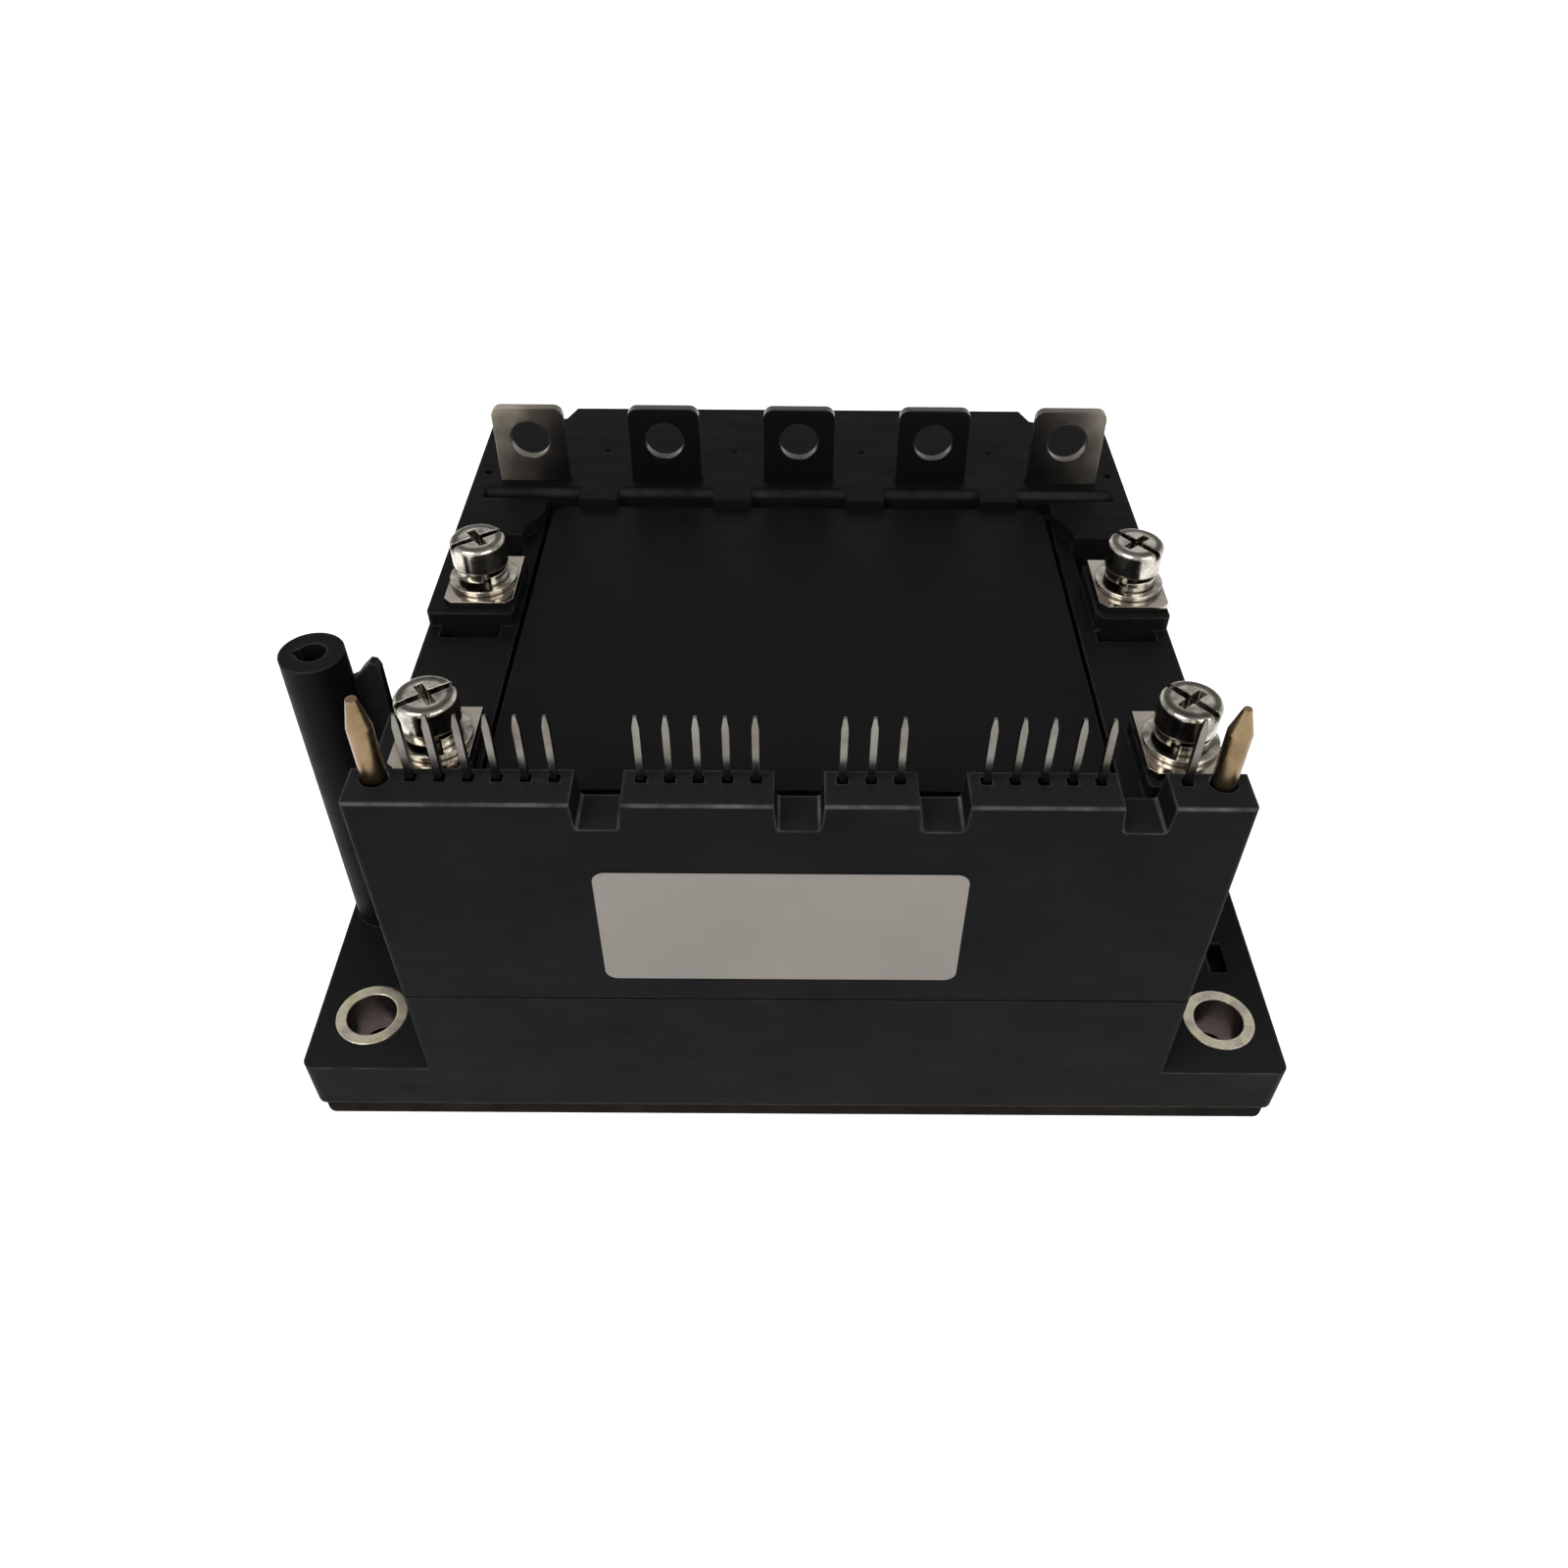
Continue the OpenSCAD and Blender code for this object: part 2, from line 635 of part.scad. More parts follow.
// plan of the lid's opening, or of the lid itself with the gap taken off
module lid_plan(gap) {
    y0 = front + lid_y - gap;
    y1 = front + (gap > 0 ? rear_deck_y : lid_back);
    translate([0, (y0 + y1) / 2]) rounded_rect(lid_l + 2 * gap, y1 - y0, lid_r);
}

module upper_housing() color([0.12, 0.12, 0.13]) difference() {
    union() {
        difference() {
            union() {
                translate([0, 0, seam_z]) linear_extrude(deck_z - seam_z) body_outline();
                translate([0, 0, deck_z - over]) linear_extrude(rear_deck_z - deck_z + over) intersection() {
                    body_outline();
                    raised_plan();
                }
            }
            translate([0, 0, seam_z - over]) linear_extrude(deck_z - deck_t - seam_z + over)
                body_outline(wall);
        }
        header();
        intersection() {
            well_blocks();
            translate([0, 0, seam_z]) linear_extrude(deck_z) body_outline(wall / 2);
        }
    }
    // rebate over the tongue of the lower case
    difference() {
        translate([0, 0, seam_z - over]) linear_extrude(tongue_h + over) body_outline(wall / 2 - fit);
        translate([0, 0, seam_z - 2 * over]) linear_extrude(tongue_h + 3 * over) body_outline(wall + fit);
    }
    // opening for the lid, with a ledge under its edge
    translate([0, 0, lid_floor]) linear_extrude(deck_z - lid_floor + over) lid_plan(lid_gap);
    slab(lid_l - 2 * lid_ledge, lid_y + lid_ledge, lid_back - lid_y - 2 * lid_ledge, seam_z, deck_z + over);
    header_cuts();
    wells();
    rear_deck_cuts();
}

module lid() color([0.09, 0.09, 0.1]) translate([0, 0, lid_floor]) linear_extrude(lid_t) lid_plan(0);

module label() color("silver")
    translate([-label_x, front, label_z]) rotate([90, 0, 0]) linear_extrude(label_t)
        rounded_rect(label_l, label_h, 1.2);

// ---------- side terminals ----------

// bent strip: a plate on the deck, a leg through the housing and a foot on the copper
module side_terminal(side, y) {
    x = term_x(side);
    leg = leg_x(side);
    foot_0 = abs(leg) - leg_t / 2;
    foot_1 = abs(bar_x(0)) + bar_w / 2 - fit;
    c = term_chamfer;
    translate([0, front + y, 0]) difference() {
        union() {
            translate([x, 0, rear_deck_z]) linear_extrude(term_t) polygon([
                [-term_l / 2 + c, -term_d / 2], [term_l / 2 - c, -term_d / 2],
                [term_l / 2, -term_d / 2 + c], [term_l / 2, term_d / 2],
                [-term_l / 2, term_d / 2], [-term_l / 2, -term_d / 2 + c]]);
            translate([leg - leg_t / 2, -leg_w / 2, chip_z]) cube([leg_t, leg_w, term_z - chip_z]);
            scale([side, 1, 1]) translate([foot_0, -leg_w / 2, chip_z]) cube([foot_1 - foot_0, leg_w, leg_t]);
        }
        translate([x, 0, rear_deck_z - over]) cylinder(d = screw_d + 0.5, h = term_t + 2 * over);
    }
}

module side_terminal_lf() color("gainsboro") side_terminal(-1, term_front_y);
module side_terminal_lr() color("gainsboro") side_terminal(-1, term_rear_y);
module side_terminal_rf() color("gainsboro") side_terminal(1, term_front_y);
module side_terminal_rr() color("gainsboro") side_terminal(1, term_rear_y);

// pan head with a cross recess and a slot across it
module terminal_screw() {
    r = head_d / 2;
    side_h = head_h - head_r;
    difference() {
        rotate_extrude() {
            square([r, side_h]);
            square([r - head_r, head_h]);
            intersection() {
                translate([r - head_r, side_h]) circle(head_r);
                square([r, head_h]);
            }
        }
        translate([-r - over, -0.4, head_h - 0.8]) cube([head_d + 2 * over, 0.8, 0.8 + over]);
        for (a = [0, 90]) rotate(a) translate([-1.7, -0.45, head_h - 1.5]) cube([3.4, 0.9, 1.5 + over]);
    }
    translate([0, 0, -screw_l]) cylinder(d = screw_d, h = screw_l);
}

module terminal_screws() color("silver")
    for (side = [-1, 1], y = [term_front_y, term_rear_y])
        translate([term_x(side), front + y, head_z])
            rotate(side < 0 ? 35 : -50) terminal_screw();

// split ring that climbs from one end of its gap to the other
module spring_washer() {
    steps = 40;
    turn = 342;
    inner = screw_d / 2 + fit;
    outer = head_d / 2 - 0.2;
    section = [[inner, 0], [outer, 0], [outer, spring_t], [inner, spring_t]];
    points = [for (i = [0 : steps]) for (p = section)
        [p[0] * cos(turn * i / steps), p[0] * sin(turn * i / steps), p[1] + spring_rise * i / steps]];
    walls = [for (i = [0 : steps - 1]) for (k = [0 : 3])
        [4 * i + k, 4 * i + (k + 1) % 4, 4 * i + 4 + (k + 1) % 4, 4 * i + 4 + k]];
    ends = [[3, 2, 1, 0], [for (k = [0 : 3]) 4 * steps + k]];
    polyhedron(points, concat(walls, ends), convexity = 4);
}

module spring_washers() color("silver")
    for (side = [-1, 1]) at_terminals_of(side) translate([0, 0, spring_z])
        rotate(side < 0 ? -60 : -110) spring_washer();

module flat_washers() color("silver") at_terminals() translate([0, 0, term_z]) difference() {
    cylinder(d = washer_d, h = washer_t);
    translate([0, 0, -over]) cylinder(d = screw_d + 0.3, h = washer_t + 2 * over);
}

module captive_nuts() color("silver") at_terminals() translate([0, 0, rear_deck_z - nut_t]) difference() {
    rotate(30) cylinder(d = nut_corner, h = nut_t, $fn = 6);
    translate([0, 0, -over]) cylinder(d = screw_d + 2 * snug, h = nut_t + 2 * over);
}

// ---------- blade terminals ----------

module blade(i) color("silver") translate([blade_x(i), front + blade_y, 0]) {
    difference() {
        translate([0, blade_t, 0]) rotate([90, 0, 0]) linear_extrude(blade_t) difference() {
            union() {
                translate([-blade_l / 2, lid_floor]) square([blade_l, blade_z - blade_r - lid_floor]);
                translate([-blade_l / 2 + blade_r, lid_floor]) square([blade_l - 2 * blade_r, blade_z - lid_floor]);
                for (side = [-1, 1])
                    translate([side * (blade_l / 2 - blade_r), blade_z - blade_r]) circle(blade_r);
                translate([-leg_w / 2, chip_z]) square([leg_w, lid_floor]);
            }
        }
        translate([0, -over, blade_hole_z]) rotate([-90, 0, 0]) cylinder(d = blade_hole, h = blade_t + 2 * over);
    }
    translate([-leg_w / 2, 0, chip_z]) cube([leg_w, blade_foot, blade_t]);
}

module blade_1() blade(0);
module blade_2() blade(1);
module blade_3() blade(2);
module blade_4() blade(3);
module blade_5() blade(4);

// ---------- control pins ----------

// square pin with a bullet tip, from below the board to above the header
module control_pin() {
    w = pin_w / 2;
    z0 = board_z - pin_down;
    intersection_for(a = [0, 90]) rotate(a) translate([0, w, 0]) rotate([90, 0, 0]) linear_extrude(pin_w)
        polygon([[-w, z0], [w, z0], [w, pin_z - pin_tip], [w * 0.45, pin_z],
            [-w * 0.45, pin_z], [-w, pin_z - pin_tip]]);
}

module pin_group(g) color("lightgray")
    for (i = pin_slots) if (i >= pin_groups[g][0] && i <= pin_groups[g][1])
        translate([pin_x(i), front + pin_y, 0]) control_pin();

module pins_1_to_6() pin_group(0);
module pins_7_to_11() pin_group(1);
module pins_12_to_14() pin_group(2);
module pins_15_to_19() pin_group(3);
module pin_20() pin_group(4);

// turned pin with a wider shank in the header and a blunt cone at its top
module guide_pin(side, lift, tip) color("goldenrod") {
    top = guide_z - header_z + guide_sunk;
    translate([side * guide_l / 2, front + pin_y, header_z - guide_sunk])
        rotate_extrude() polygon([[0, 0], [shank_d / 2, 0], [shank_d / 2, guide_sunk],
            [guide_d / 2, guide_sunk + shank_chamfer], [guide_d / 2, top - guide_cone],
            [tip / 2, top + lift], [0, top + lift]]);
}

module guide_pin_left() guide_pin(-1, guide_lift, guide_tip + guide_blunt);
module guide_pin_right() guide_pin(1, 0, guide_tip);

// ---------- inside ----------

module ceramic_tiles() color("ivory") for (i = [0 : tiles - 1])
    translate([tile_x(i) - tile_l / 2, front + tile_y, plate_t]) cube([tile_l, tile_d, tile_t]);

module copper_tracks() color("peru") for (i = [0 : tiles - 1]) {
    for (row = [0, 1]) translate([pad_x(i) - pad_l / 2, pad_y(row) - pad_d / 2, copper_z]) cube([pad_l, pad_d, copper_t]);
    translate([bar_x(i) - bar_w / 2, pad_y(0) - pad_d / 2, copper_z]) cube([bar_w, 2 * pad_d + pad_margin, copper_t]);
    translate([tile_x(i) - tile_l / 2 + pad_margin, pad_y(1) + pad_d / 2 + pad_margin, copper_z])
        cube([tile_l - 2 * pad_margin, rear_bar_d, copper_t]);
}

module at_chips(y) {
    for (i = [0 : tiles - 1], row = [0, 1])
        translate([pad_x(i) , pad_y(row) + y, chip_z]) scale([bar_side(i), 1, 1]) children();
}

module igbt_chips() color("slategray") at_chips(igbt_y)
    translate([-igbt_w / 2, -igbt_w / 2, 0]) cube([igbt_w, igbt_w, chip_t]);

module diode_chips() color("dimgray") at_chips(diode_y)
    translate([-diode_w / 2, -diode_w / 2, 0]) cube([diode_w, diode_w, chip_t]);

// flat-footed arch from the top of a chip down to the inner edge of the copper bar beside it
module ribbon() {
    t = ribbon_t;
    land = bar_x(1) - bar_w / 2 - pad_x(1);
    top = ribbon_rise;
    translate([0, ribbon_w / 2, chip_t]) rotate([90, 0, 0]) linear_extrude(ribbon_w) {
        square([ribbon_foot, t]);
        polygon([[ribbon_foot, 0], [ribbon_foot, t], [ribbon_foot + 1.2, top], [land - 1, top],
            [land, t - chip_t], [land, -chip_t], [land - t, -chip_t], [land - 1.2, top - t],
            [ribbon_foot + 1.4, top - t]]);
        translate([land, -chip_t]) square([ribbon_foot, t]);
    }
}

module bond_ribbons() color("whitesmoke") {
    at_chips(igbt_y) for (k = [-1, 0, 1]) translate([0, k * ribbon_pitch, 0]) ribbon();
    at_chips(diode_y) for (k = [-0.5, 0.5]) translate([0, k * ribbon_pitch, 0]) ribbon();
}

// carried on the tiles' copper, through the board
module at_signals() {
    for (i = [0 : tiles - 1], row = [0, 1], k = [-0.5, 0.5])
        translate([pad_x(i) + bar_side(i) * k * signal_pitch, pad_y(row) - pad_d / 2 + 0.9, 0]) children();
}

module signal_pins() color("gold") at_signals() {
    translate([0, 0, chip_z]) cylinder(d = signal_d, h = board_z + board_t + signal_collar - chip_z);
    translate([0, 0, board_z - signal_collar]) cylinder(d = signal_d + 0.8, h = signal_collar);
}

module gel_fill() color([0.75, 0.85, 0.9]) difference() {
    rim = pad_margin - 2 * fit;
    translate([0, 0, plate_t]) linear_extrude(gel_h) body_outline(wall + fit);
    // bed of the tiles, then room for the chips and ribbons
    for (i = [0 : tiles - 1]) translate([tile_x(i) - tile_l / 2, front + tile_y, plate_t]) {
        translate([-fit, -fit, -over])
            cube([tile_l + 2 * fit, tile_d + 2 * fit, tile_t + copper_t + over + fit]);
        translate([rim, rim, 0]) cube([tile_l - 2 * rim, 2 * (pad_d + pad_margin), tile_t + copper_t + gel_room]);
    }
    // passages for the signal pins, the terminals' legs and the blades
    at_signals() cylinder(d = signal_d + 2 * fit, h = plate_t + gel_h + over);
    for (side = [-1, 1], y = [term_front_y, term_rear_y])
        translate([leg_x(side) - leg_w * 0.8, front + y - leg_w / 2 - fit, plate_t])
            cube([leg_w * 1.6, leg_w + 2 * fit, gel_h + over]);
    for (i = [0 : blades - 1])
        translate([blade_x(i) - leg_w / 2 - fit, front + blade_y - fit, plate_t])
            cube([leg_w + 2 * fit, blade_foot + 2 * fit, gel_h + over]);
}

module control_board() color("darkgreen") difference() {
    union() {
        slab(cavity_l - 2 * fit, wall + 0.2, board_strip, board_z, board_z + board_t);
        slab(board_l, wall + 0.2, board_d, board_z, board_z + board_t);
    }
    for (i = pin_slots)
        translate([pin_x(i), front + pin_y, board_z - over]) cylinder(d = 1, h = board_t + 2 * over);
    at_signals() translate([0, 0, board_z - over]) cylinder(d = signal_d + 2 * snug, h = board_t + 2 * over);
}

module driver_chips() color([0.15, 0.15, 0.16]) for (i = [0 : tiles - 1], row = [0, 1])
    translate([tile_x(i) - driver_l / 2, pad_y(row) + driver_back, board_z + board_t])
        cube([driver_l, driver_d, driver_h]);

module board_capacitors() color("darkorange") for (i = [0 : capacitors - 1])
    translate([(i - (capacitors - 1) / 2) * capacitor_pitch, front + capacitor_y, board_z + board_t])
        cylinder(d = capacitor_d, h = capacitor_h);

baseplate();
lower_case();
upper_housing();
lid();
mounting_bushes();
side_terminal_lf();
side_terminal_lr();
side_terminal_rf();
side_terminal_rr();
terminal_screws();
spring_washers();
flat_washers();
captive_nuts();
blade_1();
blade_2();
blade_3();
blade_4();
blade_5();
pins_1_to_6();
pins_7_to_11();
pins_12_to_14();
pins_15_to_19();
pin_20();
guide_pin_left();
guide_pin_right();
label();
ceramic_tiles();
copper_tracks();
igbt_chips();
diode_chips();
bond_ribbons();
gel_fill();
signal_pins();
control_board();
driver_chips();
board_capacitors();
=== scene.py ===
import json
import math

import bmesh
import bpy
import numpy as np
from mathutils import Matrix, Vector


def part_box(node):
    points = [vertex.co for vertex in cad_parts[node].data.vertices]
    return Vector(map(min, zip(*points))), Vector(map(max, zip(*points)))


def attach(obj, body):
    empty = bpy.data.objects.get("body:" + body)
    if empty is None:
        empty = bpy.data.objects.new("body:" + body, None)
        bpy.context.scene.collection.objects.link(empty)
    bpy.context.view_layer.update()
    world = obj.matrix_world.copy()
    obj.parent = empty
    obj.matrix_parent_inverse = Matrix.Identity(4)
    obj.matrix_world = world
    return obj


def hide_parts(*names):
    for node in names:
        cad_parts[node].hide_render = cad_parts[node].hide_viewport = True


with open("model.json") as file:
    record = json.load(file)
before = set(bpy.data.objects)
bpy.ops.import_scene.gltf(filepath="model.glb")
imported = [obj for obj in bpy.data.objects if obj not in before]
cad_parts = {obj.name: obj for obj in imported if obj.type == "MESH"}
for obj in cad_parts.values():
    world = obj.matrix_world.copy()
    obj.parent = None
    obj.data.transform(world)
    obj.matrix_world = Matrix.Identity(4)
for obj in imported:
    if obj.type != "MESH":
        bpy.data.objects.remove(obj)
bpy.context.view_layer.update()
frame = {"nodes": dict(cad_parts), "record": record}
parts = frame["nodes"]

# ---------------------------------------------------------------- case
# Two black mouldings of glass-filled plastic: the lower case with its flange,
# post and fin, and the upper housing with the decks and the pin header. Their
# skin is finely grained and dull, as a spark-eroded tool leaves it.

CASE_BLACK = (0.0046, 0.0046, 0.0047)
# pale of worn skin and painted highlight on edges and shoulders; the pale specks take it too
CASE_WORN_HIGHLIGHT = (0.085, 0.083, 0.081)
# how much lighter a dust film and painted light make the black tops, at three places from front to
# back
CASE_DUST_AND_LIGHT = (2.7, 0.9, 0.35)
DUST_AND_LIGHT_PLACES = (0.0, 0.35, 1.0)
CASE_GRAIN = 0.00016
CASE_EDGE = 0.00042
PLASTIC_SHINE = 0.035
# how strongly edges take the worn skin and painted highlight
PLASTIC_WORN_HIGHLIGHT_GAIN = 3.2
CLOUD_TONES = (0.80, 1.35)
# how far level tops take the dust film and painted light
DUST_AND_LIGHT_SHARE = 0.85
SPECK_SHARE = 0.10
SEAM_DIRT = 0.00035
SEAM_BLACK = (0.001, 0.001, 0.001)
# painted highlight with worn skin: faces that look partly up are lightened, and so is what lies
# near the front
WORN_LIT_SLOPES = ((0.25, 0.0), (0.45, 0.95), (0.90, 0.95), (0.98, 0.0))
WORN_LIT_WAY = ((0.10, 1.0), (0.50, 0.15))
# the rear corners' cut in the CAD mouldings, and how far its two ends move back
CORNER_L = 0.0094
CORNER_D = 0.0075
CORNER_FLANK = 0.0033
CORNER_FILL = 0.0032
FLANK_FILL = 0.0005
# the header's slots, and how far a side moves out at the floor
SLOT_W = 0.0044
SLOT_D = 0.0031
SLOT_MARGIN = 0.01
SLOT_EASE = 0.00033
HEADER_D = 0.0045
PIN_GROUPS = ("pins_1_to_6", "pins_7_to_11", "pins_12_to_14", "pins_15_to_19", "pin_20")
# a point this close to a plane lies on it, and points closer than MERGED are one
NEAR = 0.00003
MERGED = 0.000001
TURNED = 1


def new_material(name):
    """An empty node material: its tree, and the shader that every finish sets."""
    material = bpy.data.materials.new(name)
    material.use_nodes = True
    return material, material.node_tree, material.node_tree.nodes["Principled BSDF"]


def node(tree, kind, inputs=None, **settings):
    """One node of a finish, with its sockets and settings filled in."""
    made = tree.nodes.new("ShaderNode" + kind)
    for key, value in settings.items():
        setattr(made, key, value)
    for key, value in (inputs or {}).items():
        made.inputs[key].default_value = value
    return made


def noise(tree, size, stretch=(1, 1, 1), detail=3.0, rough=0.55):
    """Noise in the part's own space: size is its grain in metres, and stretch draws it out."""
    place = node(tree, "TexCoord")
    squeeze = node(tree, "Mapping", {"Scale": tuple(1 / (size * s) for s in stretch)})
    made = node(tree, "TexNoise", {"Scale": 1.0, "Detail": detail, "Roughness": rough})
    tree.links.new(place.outputs["Object"], squeeze.inputs["Vector"])
    tree.links.new(squeeze.outputs["Vector"], made.inputs["Vector"])
    return made.outputs["Fac"]


def place_on_part(tree):
    """Where a point lies in the part's own space, as outputs X, Y and Z."""
    split = node(tree, "SeparateXYZ")
    tree.links.new(node(tree, "TexCoord").outputs["Object"], split.inputs["Vector"])
    return split.outputs


def ramp(tree, source, *stops):
    """Turns a value between 0 and 1 into colours or grey levels, given as (place, colour) stops."""
    made = node(tree, "ValToRGB")
    elements = made.color_ramp.elements
    while len(elements) < len(stops):
        elements.new(0.5)
    for element, (place, colour) in zip(elements, stops):
        element.position = place
        element.color = (*colour, 1) if isinstance(colour, tuple) else (colour, colour, colour, 1)
    tree.links.new(source, made.inputs["Fac"])
    return made.outputs["Color"]


def blend_colours(tree, share, first, second):
    """Mixes two colours, each a socket or a plain colour, by a share between 0 and 1."""
    made = node(tree, "Mix", data_type="RGBA")
    sockets = (made.inputs[0], made.inputs[6], made.inputs[7])
    for socket, value in zip(sockets, (share, first, second)):
        if isinstance(value, bpy.types.NodeSocket):
            tree.links.new(value, socket)
        else:
            socket.default_value = (*value, 1) if isinstance(value, tuple) else value
    return made.outputs[2]


def math_node(tree, operation, first, second, clamp=False):
    """One sum of two values, each a socket or a number."""
    made = node(tree, "Math", operation=operation, use_clamp=clamp)
    for socket, value in zip(made.inputs, (first, second)):
        if isinstance(value, bpy.types.NodeSocket):
            tree.links.new(value, socket)
        else:
            socket.default_value = value
    return made.outputs[0]


def between(tree, source, start, end, low=0.0, high=1.0):
    """Where a value lies from start to end, told as low to high and held at both."""
    limits = {"From Min": start, "From Max": end, "To Min": low, "To Max": high}
    made = node(tree, "MapRange", limits)
    tree.links.new(source, made.inputs["Value"])
    return made.outputs["Result"]


def rounded_normal(tree, radius):
    """The surface's normal, with edges softly rounded over a radius."""
    return node(tree, "Bevel", {"Radius": radius}, samples=6).outputs["Normal"]


def worn_lit_edge_share(tree, rounded, gain):
    """Share of worn skin and painted highlight: how far the rounded normal leans from the flat one
    near edges, times gain.
    """
    lean = node(tree, "VectorMath", operation="DOT_PRODUCT")
    tree.links.new(rounded, lean.inputs[0])
    tree.links.new(node(tree, "NewGeometry").outputs["True Normal"], lean.inputs[1])
    missing = math_node(tree, "SUBTRACT", 1.0, lean.outputs["Value"])
    return math_node(tree, "MULTIPLY", missing, gain, clamp=True)


def crevice_shade(tree, reach, deepest):
    """Painted shade in corners: 1 on open faces, down to deepest where close faces shut out the
    light.
    """
    open_air = node(tree, "AmbientOcclusion", {"Distance": reach}, samples=16)
    return ramp(tree, open_air.outputs["AO"], (0.25, deepest), (0.85, 1.0))


def facing_up(tree):
    """How far a face looks up: 0 for walls and undersides, 1 for level tops."""
    split = node(tree, "SeparateXYZ")
    tree.links.new(node(tree, "NewGeometry").outputs["True Normal"], split.inputs["Vector"])
    return math_node(tree, "MAXIMUM", split.outputs["Z"], 0.0)


def bump(tree, shader, height, depth, strength, base_normal=None):
    """Raises the surface by depth metres where height is 1, over an optional rounded normal."""
    made = node(tree, "Bump", {"Strength": strength, "Distance": depth})
    tree.links.new(height, made.inputs["Height"])
    if base_normal is not None:
        tree.links.new(base_normal, made.inputs["Normal"])
    tree.links.new(made.outputs["Normal"], shader.inputs["Normal"])


def dull(tree, shader, cloud, low, high):
    """Roughness that drifts from low to high with a cloud."""
    tree.links.new(ramp(tree, cloud, (0.3, low), (0.7, high)), shader.inputs["Roughness"])


def worn_highlight_share(tree, worn_and_lit, up, way_back):
    """Where the skin is worn and painted with a highlight: open edges and sloping shoulders,
    scuffed, most near the front.
    """
    lit_shoulder = ramp(tree, up, *WORN_LIT_SLOPES)
    outer = math_node(tree, "MULTIPLY", worn_and_lit, crevice_shade(tree, reach=0.0008, deepest=0.0))
    scuffs = ramp(tree, noise(tree, size=0.003, detail=4.0), (0.35, 0.25), (0.65, 1.0))
    patchy = math_node(tree, "MULTIPLY", math_node(tree, "MAXIMUM", outer, lit_shoulder), scuffs)
    return math_node(tree, "MULTIPLY", patchy, ramp(tree, way_back, *WORN_LIT_WAY))


def moulded_plastic(name, black, worn_highlight, grain, edge, dullness, depth, film):
    """Black moulding: fine grain in bump, cloudy dullness, tops lightened by a dust film and by
    painted light that thin out towards the back, edges and shoulders worn and painted with a
    highlight, pale specks."""
    material, tree, shader = new_material(name)
    shader.inputs["Specular IOR Level"].default_value = PLASTIC_SHINE
    place = place_on_part(tree)
    (_, front, _), (_, back, _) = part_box("lower_case")
    way_back = between(tree, place["Y"], front, back)
    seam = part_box("upper_housing")[0][2]
    from_seam = math_node(tree, "ABSOLUTE", math_node(tree, "SUBTRACT", place["Z"], seam), 0.0)
    off_seam = between(tree, from_seam, SEAM_DIRT / 2, SEAM_DIRT)
    up = facing_up(tree)
    rounded = rounded_normal(tree, edge)
    worn_and_lit = worn_lit_edge_share(tree, rounded, PLASTIC_WORN_HIGHLIGHT_GAIN)
    low, high = (tuple(v * tone for v in black) for tone in CLOUD_TONES)
    clouded = ramp(tree, noise(tree, size=0.011, detail=4.0), (0.35, low), (0.68, high))
    dusted_and_lit = (tuple(v * much for v in black) for much in film)
    tops = ramp(tree, way_back, *zip(DUST_AND_LIGHT_PLACES, dusted_and_lit))
    colour = blend_colours(tree, math_node(tree, "MULTIPLY", up, DUST_AND_LIGHT_SHARE), clouded, tops)
    colour = blend_colours(tree, off_seam, SEAM_BLACK, colour)
    specks = ramp(tree, noise(tree, size=0.0007, detail=2.0), (0.70, 0.0), (0.78, 1.0))
    colour = blend_colours(tree, math_node(tree, "MULTIPLY", specks, SPECK_SHARE), colour, worn_highlight)
    share = math_node(tree, "MULTIPLY", worn_highlight_share(tree, worn_and_lit, up, way_back), off_seam)
    tree.links.new(blend_colours(tree, share, colour, worn_highlight), shader.inputs["Base Color"])
    flow = noise(tree, size=0.0022, stretch=(4, 1, 1), detail=3.0)
    dull(tree, shader, flow, dullness - 0.07, dullness + 0.06)
    fine = noise(tree, grain, detail=2.0, rough=0.5)
    bump(tree, shader, fine, depth, strength=0.55, base_normal=rounded)
    return material


def dress(material, *names):
    """Gives CAD pieces their finish."""
    for name in names:
        for place in parts[name].material_slots:
            place.material = material


def read_vectors(rows, field):
    """One vector of every row of a mesh, as an array with three columns."""
    values = np.empty(3 * len(rows), dtype=np.float32)
    rows.foreach_get(field, values)
    return values.reshape(-1, 3)


def moved_copy(name, source, shift):
    """Copy of a CAD piece that stands for it: shift gives, for all its points at once, how far
    each moves. A triangle keeps its smooth normals unless it turns by more than TURNED degrees, and
    points that lie together are merged."""
    mesh = parts[source].data.copy()
    smooth = read_vectors(mesh.corner_normals, "vector")
    before = read_vectors(mesh.polygons, "normal")
    points = read_vectors(mesh.vertices, "co")
    mesh.vertices.foreach_set("co", (points + shift(points)).astype(np.float32).ravel())
    mesh.update()
    after = read_vectors(mesh.polygons, "normal")
    turned = (before * after).sum(axis=1) < math.cos(math.radians(TURNED))
    smooth = np.where(np.repeat(turned, 3)[:, None], np.repeat(after, 3, axis=0), smooth)
    kept = mesh.attributes.new("kept_normal", "FLOAT_VECTOR", "CORNER")
    kept.data.foreach_set("vector", smooth.ravel())
    merged = bmesh.new()
    merged.from_mesh(mesh)
    bmesh.ops.remove_doubles(merged, verts=merged.verts, dist=MERGED)
    merged.to_mesh(mesh)
    merged.free()
    kept = mesh.attributes["kept_normal"]
    smooth = read_vectors(kept.data, "vector")
    mesh.attributes.remove(kept)
    mesh.normals_split_custom_set(smooth)
    made = bpy.data.objects.new(name, mesh)
    bpy.context.scene.collection.objects.link(made)
    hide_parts(source)
    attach(made, "root")
    return made


